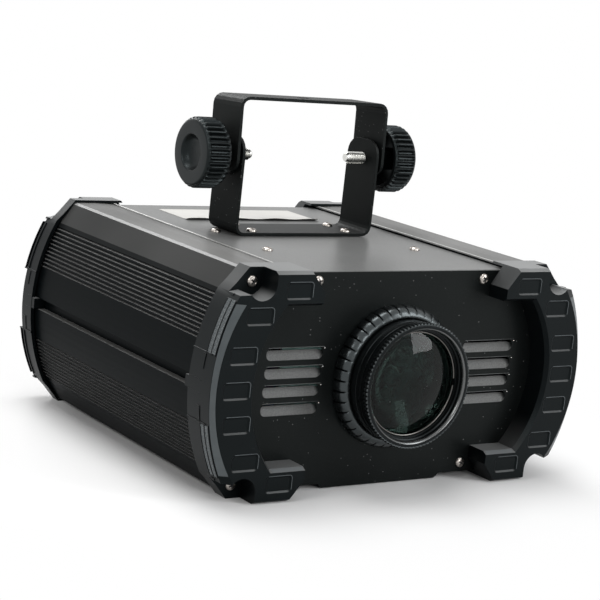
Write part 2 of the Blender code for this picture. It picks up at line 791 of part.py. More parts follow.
def guard_hollow(reach):
    """The hollow of the moulding behind its face, closed by the panel and the extrusion."""
    def drawn(mesh):
        span = PANEL_SIDE_Z - GUARD_SKIN
        outer = side_curve(GUARD_RADIUS - FACE_INSET - GUARD_SKIN, span, -span, 6)
        inner = []
        for index in range(7):
            z = -span + 2 * span * index / 6
            inner.append((mouth_x(z, MOUTH_RADIUS + GUARD_SKIN), z))
        prism(mesh, outer + inner, "y", -reach + POCKET_DEPTH + GUARD_SKIN, FLANGE_REAR)
    return drawn


def guard_tab(flange):
    """The tab that keys into the extrusion's middle groove."""
    def drawn(mesh):
        tip = GUARD_RADIUS + SIDE_CENTRE_X - TAB_SHY
        root = EXTRUSION_RADIUS + SIDE_CENTRE_X - GROOVE_DEPTH + FIT
        outline = box_outline(((tip + root) / 2, 0.0), (tip - root) / 2, TAB_HALF)
        prism(mesh, outline, "y", flange - TAB_ROOT, flange + TAB_REACH)
    return drawn


def to_rear(shape):
    """A guard shape turned round to the rear of the case."""
    def drawn(mesh):
        shape(mesh)
        bmesh.ops.scale(mesh, vec=(1.0, -1.0, 1.0), verts=mesh.verts)
        bmesh.ops.translate(mesh, vec=(0.0, CASE_LENGTH, 0.0), verts=mesh.verts)
    return drawn


ENDS = (("front", plain, GUARD_REACH_FRONT, FLANGE_FRONT), ("rear", to_rear, GUARD_REACH_REAR, FLANGE_REAR))

for end, about, reach, flange in ENDS:
    for side, hand in SIDES:
        guard = piece(end + "_" + side + "_guard", hand(about(guard_body(reach, flange))), GUARD_BLACK)
        cut(guard, "extrusion_room", hand(about(guard_back_extrusion(flange))))
        cut(guard, "panel_room", hand(about(guard_back_panel(flange))))
        cut(guard, "hollow", hand(about(guard_hollow(reach))))
        cut(guard, "scallops", hand(about(guard_scallops(reach))))
        cut(guard, "pockets", hand(about(guard_pockets(reach))))
        cut(guard, "screw_holes", hand(about(guard_screw_holes)))
        add(guard, "tab", hand(about(guard_tab(flange))))


# Panels and plates

def panel_outline(tab):
    """An end panel's outline; the front one has a tab below that stiffens its edge."""
    side = [(PANEL_TOP_X, PLATE_TOP), (PANEL_SHOULDER_X, PLATE_TOP - PANEL_CORNER)]
    side += [(PANEL_SHOULDER_X, PANEL_SHOULDER_Z), (PANEL_HALF_WIDTH, PANEL_SIDE_Z)]
    side += [(PANEL_HALF_WIDTH, -PANEL_SIDE_Z), (PANEL_SHOULDER_X, -PANEL_SHOULDER_Z)]
    side += [(PANEL_SHOULDER_X, -PANEL_SKIRT_Z + PANEL_CORNER), (PANEL_TOP_X, -PANEL_SKIRT_Z)]
    if tab:
        side += [(PANEL_TAB_HALF + PANEL_TAB_SLOPE, -PANEL_SKIRT_Z), (PANEL_TAB_HALF, -PANEL_TAB_Z)]
    return side + [(-a, b) for a, b in reversed(side)]


def panel_screw_holes(low, high):
    def drawn(mesh):
        for x in (PANEL_SCREW_X, -PANEL_SCREW_X):
            for z in (PANEL_SCREW_Z, -PANEL_SCREW_Z):
                rod(mesh, SHANK_HOLE, "y", (x, z), low, high)
    return drawn


def louvre_rows():
    """The middle of each louvre, as X and Z."""
    middle = (LOUVRE_IN + LOUVRE_OUT) / 2
    for sign in (-1, 1):
        for row in range(LOUVRE_ROWS):
            yield sign * middle, LOUVRE_MID_Z + (row - (LOUVRE_ROWS - 1) / 2) * LOUVRE_PITCH


def louvre_hoods(mesh):
    """The pressed in ramps behind the louvres."""
    half = (LOUVRE_OUT - LOUVRE_IN) / 2 + SHEET
    high = LOUVRE_HIGH / 2
    for x, z in louvre_rows():
        outline = [(SHEET / 2, z - high - SHEET), (LOUVRE_DEPTH + SHEET, z + high), (SHEET / 2, z + high)]
        prism(mesh, outline, "x", x - half, x + half)


def louvre_cuts(mesh):
    """The slots in front of the ramps, each open to the inside along its upper edge."""
    half = (LOUVRE_OUT - LOUVRE_IN) / 2
    high = LOUVRE_HIGH / 2
    slit = SHEET + LOUVRE_SLIT
    for x, z in louvre_rows():
        top = z + high
        outline = [(-SHEET, z - high), (0.0, z - high), (LOUVRE_DEPTH, top), (LOUVRE_DEPTH, top + SHEET)]
        outline += [(slit, top + SHEET), (slit, top), (-SHEET, top)]
        prism(mesh, outline, "x", x - half, x + half)


def front_panel_shape(mesh):
    prism(mesh, panel_outline(True), "y", 0.0, SHEET)


def front_panel_holes(mesh):
    rod(mesh, PANEL_BORE, "y", (0.0, 0.0), -SHEET, 2 * SHEET, ROUND)
    panel_screw_holes(-SHEET, 2 * SHEET)(mesh)


front_panel = piece("front_panel", front_panel_shape, POWDER)
add(front_panel, "hoods", louvre_hoods)
cut(front_panel, "louvres", louvre_cuts)
cut(front_panel, "holes", front_panel_holes)


def button_x(index):
    return BUTTON_FIRST_X + index * BUTTON_PITCH


def rear_panel_shape(mesh):
    prism(mesh, panel_outline(False), "y", REAR_INNER, CASE_LENGTH)


def rear_panel_holes(mesh):
    low, high = REAR_INNER - SHEET, CASE_LENGTH + SHEET
    panel_screw_holes(low, high)(mesh)
    for index in range(FAN_SLOTS):
        offset = (index - (FAN_SLOTS - 1) / 2) * FAN_SLOT_PITCH
        reach = math.sqrt((FAN_BORE - FAN_SLOT_IN) ** 2 - offset * offset)
        outline = box_outline((FAN_X + offset, 0.0), FAN_SLOT_WIDE / 2, reach)
        prism(mesh, outline, "y", low, high)
    prism(mesh, box_outline((INLET_X, INLET_Z), INLET_BODY_X + FIT, INLET_BODY_Z + FIT), "y", low, high)
    for x in (DATA_IN_X, DATA_OUT_X):
        rod(mesh, DATA_BODY + FIT, "y", (x, 0.0), low, high, SMALL_ROUND)
    window = box_outline((DISPLAY_X, DISPLAY_Z), DISPLAY_HALF_X + FIT, DISPLAY_HALF_Z + FIT)
    prism(mesh, window, "y", low, high)
    for index in range(len(BUTTON_NAMES)):
        rod(mesh, BUTTON_RADIUS + FIT, "y", (button_x(index), DISPLAY_Z), low, high, PIN_ROUND)


rear_panel = piece("rear_panel", rear_panel_shape, POWDER)
cut(rear_panel, "holes", rear_panel_holes)


def plate_shape(mesh):
    """A plate on the extrusions' ledges, with a lip bent down behind each end panel."""
    lip = PLATE_TOP - 2 * (PLATE_TOP - PANEL_SCREW_Z)
    front, rear = SHEET_BACK, REAR_INNER - FIT
    outline = [(front, lip), (front, PLATE_TOP), (rear, PLATE_TOP), (rear, lip)]
    outline += [(rear - SHEET, lip), (rear - SHEET, PLATE_UNDER)]
    outline += [(front + SHEET, PLATE_UNDER), (front + SHEET, lip)]
    half = PLATE_HALF_WIDTH - LEDGE_REACH - FIT
    prism(mesh, outline, "x", -half, half)


def plate_wings(mesh):
    for sign in (-1, 1):
        inner = PLATE_HALF_WIDTH - LEDGE_REACH - 2 * FIT
        middle = sign * (PLATE_HALF_WIDTH + inner) / 2
        half = (PLATE_HALF_WIDTH - inner) / 2
        rear = REAR_INNER - FIT
        outline = box_outline((middle, (SHEET_BACK + rear) / 2), half, (rear - SHEET_BACK) / 2)
        prism(mesh, outline, "z", PLATE_UNDER, PLATE_TOP)


def upside_down(shape):
    def drawn(mesh):
        shape(mesh)
        bmesh.ops.scale(mesh, vec=(1.0, 1.0, -1.0), verts=mesh.verts)
    return drawn


def lip_holes(mesh):
    panel_screw_holes(0.0, SHEET_BACK + 2 * SHEET)(mesh)
    panel_screw_holes(REAR_INNER - 2 * SHEET - FIT, REAR_INNER + SHEET)(mesh)


def base_screw_places():
    for x in (-BASE_SCREW_X, BASE_SCREW_X):
        for y in (PIVOT_Y - BASE_SCREW_Y, PIVOT_Y + BASE_SCREW_Y):
            yield x, y


def plate_screw_places():
    for x in (-PLATE_SCREW_X, PLATE_SCREW_X):
        for y in (PLATE_SCREW_FRONT, PLATE_SCREW_REAR):
            yield x, y


def top_plate_holes(mesh):
    for x, y in list(base_screw_places()) + list(plate_screw_places()):
        rod(mesh, SHANK_HOLE, "z", (x, y), PLATE_UNDER - SHEET, PLATE_TOP + SHEET)
    lip_holes(mesh)


top_plate = piece("top_plate", plate_shape, POWDER)
add(top_plate, "wings", plate_wings)
cut(top_plate, "holes", top_plate_holes)
bottom_plate = piece("bottom_plate", upside_down(plate_shape), POWDER)
add(bottom_plate, "wings", upside_down(plate_wings))
cut(bottom_plate, "holes", lip_holes)


# Brackets, washers, studs and knobs

def strap_outline(half, bend_z, end_z, up):
    """A bent strap seen along Y: a base at bend_z and two arms that end at end_z."""
    sign = 1 if up else -1
    inside = BEND_RADIUS - STRAP
    start = (270, 360) if up else (90, 0)
    right = arc((half - BEND_RADIUS, bend_z + sign * BEND_RADIUS), BEND_RADIUS, start[0], start[1], 4)
    right.append((half, end_z))
    right.append((half - STRAP, end_z))
    back = arc((half - BEND_RADIUS, bend_z + sign * BEND_RADIUS), inside, start[1], start[0], 4)
    points = right + back
    return points + [(-a, b) for a, b in reversed(points)]


def corner_tool(mesh, half, edge_y, side, end_z, up, radius):
    """What a rounded arm corner leaves off."""
    sign = 1 if up else -1
    centre = (edge_y - side * radius, end_z - sign * radius)
    quarter = arc(centre, radius, 0, 90, 5)
    rounded = []
    for a, b in quarter:
        rounded.append((centre[0] + side * (a - centre[0]), centre[1] + sign * (b - centre[1])))
    outer = [(edge_y - side * radius, end_z + sign * PAST), (edge_y + side * PAST, end_z + sign * PAST)]
    outer.append((edge_y + side * PAST, end_z - sign * radius))
    prism(mesh, rounded + outer, "x", -half - PAST, half + PAST)


STRIP_FRONT = PIVOT_Y - STRIP_WIDTH / 2
STRIP_REAR = PIVOT_Y + STRIP_WIDTH / 2
LOWER_BASE_Z = PLATE_TOP + FIT
LOWER_END_Z = PIVOT_Z + LOWER_TOP
UPPER_BAR_Z = PIVOT_Z + UPPER_RISE
UPPER_END_Z = PIVOT_Z - UPPER_DROP


def lower_bracket_shape(mesh):
    outline = strap_outline(LOWER_HALF, LOWER_BASE_Z, LOWER_END_Z, True)
    prism(mesh, outline, "y", STRIP_FRONT, STRIP_REAR)


def lower_bracket_cuts(mesh):
    corner_tool(mesh, LOWER_HALF, STRIP_FRONT, -1, LOWER_END_Z, True, LOWER_ROUND)
    corner_tool(mesh, LOWER_HALF, STRIP_REAR, 1, LOWER_END_Z, True, LOWER_ROUND)
    rod(mesh, STUD_HOLE, "x", (PIVOT_Y, PIVOT_Z), -LOWER_HALF - PAST, LOWER_HALF + PAST, SMALL_ROUND)
    for x, y in base_screw_places():
        rod(mesh, SHANK_HOLE, "z", (x, y), LOWER_BASE_Z - PAST, LOWER_BASE_Z + STRAP + PAST)


def upper_bracket_shape(mesh):
    outline = strap_outline(UPPER_HALF, UPPER_BAR_Z, UPPER_END_Z, False)
    prism(mesh, outline, "y", STRIP_FRONT, STRIP_REAR)


def upper_bracket_cuts(mesh):
    corner_tool(mesh, UPPER_HALF, STRIP_FRONT, -1, UPPER_END_Z, False, UPPER_ROUND)
    corner_tool(mesh, UPPER_HALF, STRIP_REAR, 1, UPPER_END_Z, False, UPPER_ROUND)
    rod(mesh, STUD_HOLE, "x", (PIVOT_Y, PIVOT_Z), -UPPER_HALF - PAST, UPPER_HALF + PAST, SMALL_ROUND)
    low, high = UPPER_BAR_Z - STRAP - PAST, UPPER_BAR_Z + PAST
    rod(mesh, CLAMP_HOLE, "z", (0.0, PIVOT_Y), low, high, SMALL_ROUND)


PIVOT = (0.0, PIVOT_Y, PIVOT_Z)
lower_bracket = piece("lower_bracket", lower_bracket_shape, POWDER)
cut(lower_bracket, "cuts", lower_bracket_cuts)
upper_bracket = piece("upper_bracket", upper_bracket_shape, POWDER, PIVOT, turn=(UPPER_TILT, 0.0, 0.0))
upper_cuts = cut(upper_bracket, "cuts", upper_bracket_cuts)
upper_cuts.data.transform(Matrix.Translation(-Vector(PIVOT)))
upper_cuts.location = PIVOT
upper_cuts.rotation_euler = (UPPER_TILT, 0.0, 0.0)


def knob_shape(mesh):
    """A ribbed handwheel with a chamfered, dished face."""
    notch = KNOB_NOTCH
    profile = [(0.0, KNOB_FACE_X), (KNOB_FACE_RADIUS, KNOB_FACE_X)]
    profile.append((KNOB_RADIUS, KNOB_FACE_X - KNOB_CHAMFER, notch))
    profile.append((KNOB_RADIUS, KNOB_BACK_X + KNOB_EDGE, notch))
    profile += [(KNOB_BACK_RADIUS, KNOB_BACK_X), (0.0, KNOB_BACK_X)]
    turned(mesh, profile, 2 * KNOB_RIBS, "x", (PIVOT_Y, PIVOT_Z))


def knob_boss(mesh):
    """The boss that presses on the bracket."""
    low, high = UPPER_HALF + FIT, KNOB_BACK_X + KNOB_EDGE / 3
    rod(mesh, KNOB_BOSS, "x", (PIVOT_Y, PIVOT_Z), low, high, SMALL_ROUND)


def knob_cuts(mesh):
    """The dish in the face, the hollow back and the stud's bore."""
    axis = (PIVOT_Y, PIVOT_Z)
    rod(mesh, KNOB_DISH, "x", axis, KNOB_FACE_X - KNOB_DISH_DEPTH, KNOB_FACE_X + PAST, SMALL_ROUND)
    behind = KNOB_BACK_X - PAST
    hollow = [(KNOB_BOSS, behind), (KNOB_SKIRT, behind), (KNOB_SKIRT, KNOB_WEB_X)]
    turned(mesh, hollow + [(KNOB_BOSS, KNOB_WEB_X)], SMALL_ROUND, "x", axis)
    rod(mesh, STUD_RADIUS + FIT, "x", axis, UPPER_HALF - PAST, STUD_END_X, SMALL_ROUND)


def stud_shape(mesh):
    end = STUD_END_X - FIT
    tip = STUD_TIP_X
    profile = [(0.0, tip), (STUD_RADIUS - STUD_POINT, tip), (STUD_RADIUS, tip + STUD_POINT)]
    profile += [(STUD_RADIUS, end), (0.0, end)]
    turned(mesh, profile, SMALL_ROUND, "x", (PIVOT_Y, PIVOT_Z))


def washer_shape(mesh):
    low, high = LOWER_HALF + FIT, LOWER_HALF + WASHER_GAP - FIT
    notch = WASHER_NOTCH
    profile = [(STUD_HOLE, low), (WASHER_RADIUS, low, notch)]
    profile += [(WASHER_RADIUS, high, notch), (STUD_HOLE, high)]
    turned(mesh, profile, 2 * WASHER_TEETH, "x", (PIVOT_Y, PIVOT_Z))


for side, hand in SIDES:
    knob = piece(side + "_knob", hand(knob_shape), KNOB_BLACK, PIVOT, smooth=35)
    add(knob, "boss", hand(knob_boss))
    cut(knob, "cuts", hand(knob_cuts))
    piece(side + "_knob_stud", hand(stud_shape), ZINC, PIVOT, smooth=35)
    piece(side + "_toothed_washer", hand(washer_shape), KNOB_BLACK)


# Lens group on the optical axis

def lens_mount_shape(mesh):
    """The fixed tube that the barrel slides in, clamped behind the panel by its flange."""
    front = -COLLAR_REACH + COLLAR_LIP + FIT
    back = SHEET_BACK + MOUNT_FLANGE
    profile = [(MOUNT_BORE, front), (MOUNT_RADIUS, front), (MOUNT_RADIUS, SHEET_BACK)]
    profile += [(MOUNT_FLANGE_RADIUS, SHEET_BACK), (MOUNT_FLANGE_RADIUS, back), (MOUNT_BORE, back)]
    turned(mesh, profile, ROUND)


def focus_ring_shape(mesh):
    """The ribbed collar that turns on the fixed tube and drives the barrel."""
    deep = COLLAR_NOTCH
    lip = BARREL_RADIUS + COLLAR_CLEARANCE
    profile = [(COLLAR_RADIUS, -FIT, deep)]
    for inward, place, share in COLLAR_NOSE:
        profile.append((COLLAR_RADIUS - inward, -place, share * deep))
    profile.append((lip, -COLLAR_REACH))
    profile += [(lip, -COLLAR_REACH + COLLAR_LIP), (MOUNT_RADIUS + FIT, -COLLAR_REACH + COLLAR_LIP)]
    profile += [(MOUNT_RADIUS + FIT, -FIT)]
    turned(mesh, profile, 2 * COLLAR_RIBS)


def lens_barrel_shape(mesh):
    """The sliding barrel: a lipped rim, a finger grip, and a seat for the front lens."""
    front = -LENS_REACH
    rim_back = front + RIM_WIDTH
    grip_back = rim_back + GRIP_WIDTH
    seat = front + GLASS_FACE - FIT
    shoulder = seat + GLASS_EDGE + 2 * FIT
    bore = GLASS_RADIUS + FIT
    back_bore = BARREL_RADIUS - BARREL_WALL
    lip = bore - SEAT_LIP
    mouth = front + 2 * SEAT_STEP
    profile = [(RIM_RADIUS - RIM_LIP, front), (RIM_RADIUS, front + RIM_ROLL), (RIM_RADIUS, rim_back)]
    profile += [(BARREL_RADIUS - GRIP_DROP, rim_back), (BARREL_RADIUS - GRIP_DROP, grip_back)]
    profile += [(BARREL_RADIUS, grip_back), (BARREL_RADIUS, BARREL_BACK), (back_bore, BARREL_BACK)]
    profile += [(back_bore, shoulder + 2 * SEAT_STEP), (lip, shoulder + SEAT_STEP), (lip, shoulder)]
    throat = seat - SEAT_STEP
    lip_edge = RIM_RADIUS - RIM_LIP - THROAT_STEP
    profile += [(bore, shoulder), (bore, throat), (bore + THROAT_STEP, throat)]
    profile += [(bore + 2 * THROAT_STEP, mouth), (lip_edge, front + RIM_ROLL / 2)]
    turned(mesh, profile, ROUND)


def front_lens_shape(mesh):
    """A glass with a crowned front, thickest in the middle."""
    face = -LENS_REACH + GLASS_FACE
    back = face + GLASS_EDGE
    profile = [(0.0, face - GLASS_CROWN)]
    for index in range(1, 5):
        share = index / 4
        profile.append((GLASS_RADIUS * share, face - GLASS_CROWN * (1 - share * share)))
    profile += [(GLASS_RADIUS, back), (0.0, back)]
    turned(mesh, profile, ROUND)


AXIS = (0.0, 0.0, 0.0)
piece("lens_mount", lens_mount_shape, BARREL_BLACK, smooth=35)
piece("focus_ring", focus_ring_shape, KNOB_BLACK, AXIS, smooth=35)
piece("lens_barrel", lens_barrel_shape, BARREL_BLACK, AXIS, smooth=35)
piece("front_lens", front_lens_shape, GLASS, AXIS, smooth=35)


# Optical bench with its wheels, motors and lamp

def bench_shape(mesh):
    outline = [(BENCH_FRONT, BENCH_FLOOR), (BENCH_REAR, BENCH_FLOOR), (BENCH_REAR, BENCH_TOP)]
    outline += [(WALL_BACK, BENCH_TOP), (WALL_BACK, WALL_TOP), (WALL_Y, WALL_TOP), (WALL_Y, BENCH_TOP)]
    outline.append((BENCH_FRONT, BENCH_TOP))
    prism(mesh, outline, "x", -BENCH_HALF, BENCH_HALF)


def bench_window(mesh):
    rod(mesh, WALL_WINDOW, "y", (0.0, 0.0), WALL_Y - PAST, WALL_BACK + PAST, SMALL_ROUND)


def wheel_shape(x, z, radius, disc_front, towards_motor):
    """A glass disc on a hub whose axle bore opens towards its motor."""
    disc_back = disc_front + DISC_THICK
    bore = AXLE_RADIUS + AXLE_CLEARANCE
    hub_end = disc_front + towards_motor * HUB_THICK if towards_motor > 0 else disc_back - HUB_THICK

    def drawn(mesh):
        flat = disc_front if towards_motor > 0 else disc_back
        far = disc_back if towards_motor > 0 else disc_front
        profile = [(0.0, flat), (radius, flat), (radius, far), (HUB_RADIUS, far), (HUB_RADIUS, hub_end)]
        bottom = flat + towards_motor * HUB_FLOOR
        profile += [(bore, hub_end), (bore, bottom), (0.0, bottom)]
        turned(mesh, profile, ROUND, "y", (x, z))
    return drawn


def motor_shape(x, z, face, back, axle_end):
    def drawn(mesh):
        direction = 1 if axle_end > face else -1
        shoulder = face - direction * MOTOR_STEP
        profile = [(0.0, back), (MOTOR_RADIUS, back), (MOTOR_RADIUS, shoulder), (MOTOR_BOSS, shoulder)]
        profile += [(MOTOR_BOSS, face), (AXLE_RADIUS, face), (AXLE_RADIUS, axle_end), (0.0, axle_end)]
        turned(mesh, profile, SMALL_ROUND, "y", (x, z))
    return drawn


optical_bench = piece("optical_bench", bench_shape, STEEL)
cut(optical_bench, "window", bench_window)
ripple_drawn = wheel_shape(RIPPLE_X, RIPPLE_Z, RIPPLE_RADIUS, RIPPLE_DISC, 1)
piece("ripple_wheel", ripple_drawn, RIPPLE_GLASS, (RIPPLE_X, RIPPLE_DISC, RIPPLE_Z), smooth=35)
colour_drawn = wheel_shape(COLOUR_X, COLOUR_Z, COLOUR_RADIUS, COLOUR_DISC, -1)
piece("colour_wheel", colour_drawn, COLOUR_GLASS, (COLOUR_X, COLOUR_DISC, COLOUR_Z), smooth=35)
ripple_motor = motor_shape(RIPPLE_X, RIPPLE_Z, RIPPLE_FACE, WALL_Y - FIT, RIPPLE_DISC + AXLE_SHY)
piece("ripple_wheel_motor", ripple_motor, ALUMINIUM, smooth=35)
colour_axle_end = COLOUR_DISC + DISC_THICK - AXLE_SHY
colour_motor = motor_shape(COLOUR_X, COLOUR_Z, COLOUR_FACE, WALL_BACK + FIT, colour_axle_end)
piece("colour_wheel_motor", colour_motor, ALUMINIUM, smooth=35)


def condenser_shape(mesh):
    profile = [(0.0, LAMP_Y - CONDENSER_CROWN)]
    for index in range(1, 5):
        share = index / 4
        profile.append((CONDENSER_RADIUS * share, LAMP_Y - CONDENSER_CROWN * (1 - share * share)))
    profile += [(CONDENSER_RADIUS, LAMP_Y + CONDENSER_EDGE), (0.0, LAMP_Y + CONDENSER_EDGE)]
    turned(mesh, profile, SMALL_ROUND)


def lamp_shape(mesh):
    """The light engine: a lens seat, a reflector and a flange that bolts to the heatsink."""
    seat = LAMP_Y + CONDENSER_EDGE + FIT
    back = LAMP_Y + LAMP_LENGTH
    profile = [(0.0, back), (EMITTER_RADIUS, back), (CONDENSER_RADIUS - SEAT_STEP, seat)]
    profile.append((CONDENSER_RADIUS + FIT, seat))
    profile += [(CONDENSER_RADIUS + FIT, LAMP_Y), (LAMP_TUBE, LAMP_Y), (LAMP_TUBE, back)]
    profile += [(LAMP_FLANGE, back), (LAMP_FLANGE, back + LAMP_FLANGE_THICK)]
    profile.append((0.0, back + LAMP_FLANGE_THICK))
    turned(mesh, profile, SMALL_ROUND)


def heatsink_shape(mesh):
    """A comb of fins behind a base plate, standing on the bench."""
    gap = (2 * SINK_HALF - SINK_FINS * SINK_FIN) / (SINK_FINS - 1)
    outline = [(-SINK_HALF, SINK_Y), (SINK_HALF, SINK_Y)]
    edge = SINK_HALF
    for index in range(SINK_FINS):
        outline += [(edge, SINK_Y + SINK_DEPTH), (edge - SINK_FIN, SINK_Y + SINK_DEPTH)]
        edge -= SINK_FIN
        if index < SINK_FINS - 1:
            outline += [(edge, SINK_Y + SINK_BASE), (edge - gap, SINK_Y + SINK_BASE)]
            edge -= gap
    prism(mesh, outline, "z", BENCH_TOP + FIT, SINK_TOP)


piece("condenser_lens", condenser_shape, GLASS, smooth=35)
piece("led_engine", lamp_shape, ALUMINIUM, smooth=35)
piece("heatsink", heatsink_shape, ALUMINIUM)


# Power supply board under the top plate

def power_board_shape(mesh):
    half_x = PLATE_SCREW_X + POWER_MARGIN
    half_y = (PLATE_SCREW_REAR - PLATE_SCREW_FRONT) / 2 + POWER_MARGIN
    prism(mesh, box_outline((0.0, POWER_Y), half_x, half_y), "z", POWER_Z - BOARD, POWER_Z)


def power_parts(mesh):
    """Posts up to the top plate, and the transformer and capacitors below the board."""
    for x, y in plate_screw_places():
        rod(mesh, POST_RADIUS, "z", (x, y), POWER_Z - BOARD / 2, PLATE_UNDER - FIT)
    under = POWER_Z - BOARD / 2
    for x, y, half_x, half_y, high in POWER_BLOCKS:
        prism(mesh, box_outline((x, POWER_Y + y), half_x, half_y), "z", under - high, under)
    for x, y in CAPACITORS:
        rod(mesh, CAPACITOR_RADIUS, "z", (x, POWER_Y + y), under - CAPACITOR_HIGH, under)


def power_screw_ports(mesh):
    for x, y in plate_screw_places():
        rod(mesh, SHANK_HOLE, "z", (x, y), POWER_Z, PLATE_TOP)


power_board = piece("power_supply_board", power_board_shape, CIRCUIT)
add(power_board, "parts", power_parts)
cut(power_board, "screw_ports", power_screw_ports)


# Cooling fan on the rear panel

def fan_frame_shape(mesh):
    half = FAN_SIDE / 2
    prism(mesh, rounded_outline((FAN_X, 0.0), half, half, FAN_CORNER, 2), "y", FAN_FRONT, FAN_BACK)


def fan_bore_shape(mesh):
    rod(mesh, FAN_BORE, "y", (FAN_X, 0.0), FAN_FRONT - PAST, FAN_BACK + PAST, ROUND)


def fan_spokes(mesh):
    """Four spokes, a motor cup and the rotor's pin, as one cross shaped outline."""
    points = []
    spoke = math.degrees(math.asin(FAN_SPOKE_HALF / FAN_HUB))
    reach = FAN_BORE + FAN_SPOKE_HALF / 2
    for quarter in range(4):
        start = 90 * quarter
        points += arc((FAN_X, 0.0), FAN_HUB, start + spoke, start + 90 - spoke, 4)
        along = math.radians(start + 90)
        for sign in (1, -1):
            x = FAN_X + reach * math.cos(along) + sign * FAN_SPOKE_HALF * math.sin(along)
            points.append((x, reach * math.sin(along) - sign * FAN_SPOKE_HALF * math.cos(along)))
    prism(mesh, points, "y", FAN_FRONT, FAN_FRONT + FAN_PLATE)


def fan_pin(mesh):
    rod(mesh, AXLE_RADIUS, "y", (FAN_X, 0.0), FAN_FRONT + FAN_PLATE / 2, FAN_BACK - FAN_PIN_IN)


def fan_rotor_shape(mesh):
    """A hub with raked blades, as one star drawn through a twist."""
    low, high = FAN_FRONT + FAN_PLATE + FIT, FAN_BACK - FAN_ROTOR_IN
    rings = []
    for level, twist in ((low, 0.0), ((low + high) / 2, FAN_TWIST), (high, 2 * FAN_TWIST)):
        ring = []
        for blade in range(FAN_BLADES):
            start = 360 * blade / FAN_BLADES + twist
            spots = ((FAN_HUB, start), (FAN_TIP, start - 4), (FAN_TIP, start + 2), (FAN_HUB, start + 8))
            spots += ((FAN_HUB, start + 25), (FAN_HUB, start + 40))
            for radius, angle in spots:
                turn = math.radians(angle)
                ring.append((FAN_X + radius * math.cos(turn), level, radius * math.sin(turn)))
        rings.append(ring)
    loft(mesh, rings)


def fan_rotor_bore(mesh):
    low = FAN_FRONT + FAN_PLATE
    high = FAN_BACK - FAN_PIN_IN + FIT
    rod(mesh, AXLE_RADIUS + AXLE_CLEARANCE, "y", (FAN_X, 0.0), low - PAST, high, SMALL_ROUND)


fan_frame = piece("fan_frame", fan_frame_shape, INSERT_BLACK)
cut(fan_frame, "bore", fan_bore_shape)
add(fan_frame, "spokes", fan_spokes)
add(fan_frame, "pin", fan_pin)
fan_rotor = piece("fan_rotor", fan_rotor_shape, INSERT_BLACK, (FAN_X, FAN_FRONT, 0.0))
cut(fan_rotor, "bore", fan_rotor_bore)


# Mains inlet, fuse drawer and data sockets

def inlet_shape(mesh):
    outline = rounded_outline((INLET_X, INLET_Z), INLET_FLANGE_X, INLET_FLANGE_Z, INLET_CORNER, 2)
    prism(mesh, outline, "y", OUTSIDE, OUTSIDE + INLET_FLANGE)


def inlet_body(mesh):
    outline = box_outline((INLET_X, INLET_Z), INLET_BODY_X, INLET_BODY_Z)
    prism(mesh, outline, "y", CASE_LENGTH - INLET_DEPTH, OUTSIDE + INLET_FLANGE / 2)


def inlet_cavities(mesh):
    face = OUTSIDE + INLET_FLANGE
    left, right = [INLET_X + SOCKET_OFFSET + sign * SOCKET_HALF_X for sign in (-1, 1)]
    low, high = INLET_Z - SOCKET_HALF_Z, INLET_Z + SOCKET_HALF_Z
    outline = [(left, low), (right, low), (right, high - INLET_SLOPE), (right - INLET_SLOPE, high)]
    outline += [(left + INLET_SLOPE, high), (left, high - INLET_SLOPE)]
    prism(mesh, outline, "y", face - SOCKET_DEEP, face + PAST)
    drawer = box_outline((INLET_X + DRAWER_OFFSET, INLET_Z), DRAWER_HALF_X + FIT, DRAWER_HALF_Z + FIT)
    prism(mesh, drawer, "y", face - DRAWER_DEEP - FIT, face + PAST)


def inlet_pins(mesh):
    face = OUTSIDE + INLET_FLANGE
    for offset, rise in ((-PIN_PITCH, -PIN_RISE), (0.0, PIN_RISE), (PIN_PITCH, -PIN_RISE)):
        blade = box_outline((INLET_X + SOCKET_OFFSET + offset, INLET_Z + rise), PIN_HALF_X, PIN_HALF_Z)
        prism(mesh, blade, "y", face - SOCKET_DEEP - PIN_HALF_X, face - PIN_SHY)


mains_inlet = piece("mains_inlet", inlet_shape, INSERT_BLACK)
add(mains_inlet, "body", inlet_body)
cut(mains_inlet, "cavities", inlet_cavities)
add(mains_inlet, "pins", inlet_pins)


def fuse_drawer_shape(mesh):
    face = OUTSIDE + INLET_FLANGE
    drawer = box_outline((INLET_X + DRAWER_OFFSET, INLET_Z), DRAWER_HALF_X, DRAWER_HALF_Z)
    prism(mesh, drawer, "y", face - DRAWER_DEEP, face)


def fuse_drawer_cuts(mesh):
    """A finger notch in the face, and the trough that holds the fuse."""
    face = OUTSIDE + INLET_FLANGE
    x = INLET_X + DRAWER_OFFSET
    notch = box_outline((x, INLET_Z + DRAWER_HALF_Z - NOTCH_DROP), NOTCH_HALF_X, NOTCH_HALF_Z)
    prism(mesh, notch, "y", face - NOTCH_DEEP, face + NOTCH_DEEP)
    middle = (x + DRAWER_HALF_X, face - DRAWER_DEEP / 2 - NOTCH_DEEP)
    trough = box_outline(middle, TROUGH_WIDE, DRAWER_DEEP / 2 - TROUGH_END)
    prism(mesh, trough, "z", INLET_Z - DRAWER_HALF_Z + TROUGH_FLOOR, INLET_Z + DRAWER_HALF_Z - TROUGH_ROOF)


DRAWER_PLACE = (INLET_X + DRAWER_OFFSET, CASE_LENGTH, INLET_Z)
fuse_drawer = piece("fuse_drawer", fuse_drawer_shape, INSERT_BLACK, DRAWER_PLACE)
cut(fuse_drawer, "cuts", fuse_drawer_cuts)


def data_socket_shape(x):
    def drawn(mesh):
        outline = rounded_outline((x, 0.0), DATA_FLANGE_X, DATA_FLANGE_Z, DATA_CORNER, 2)
        prism(mesh, outline, "y", OUTSIDE, OUTSIDE + DATA_FLANGE)
    return drawn


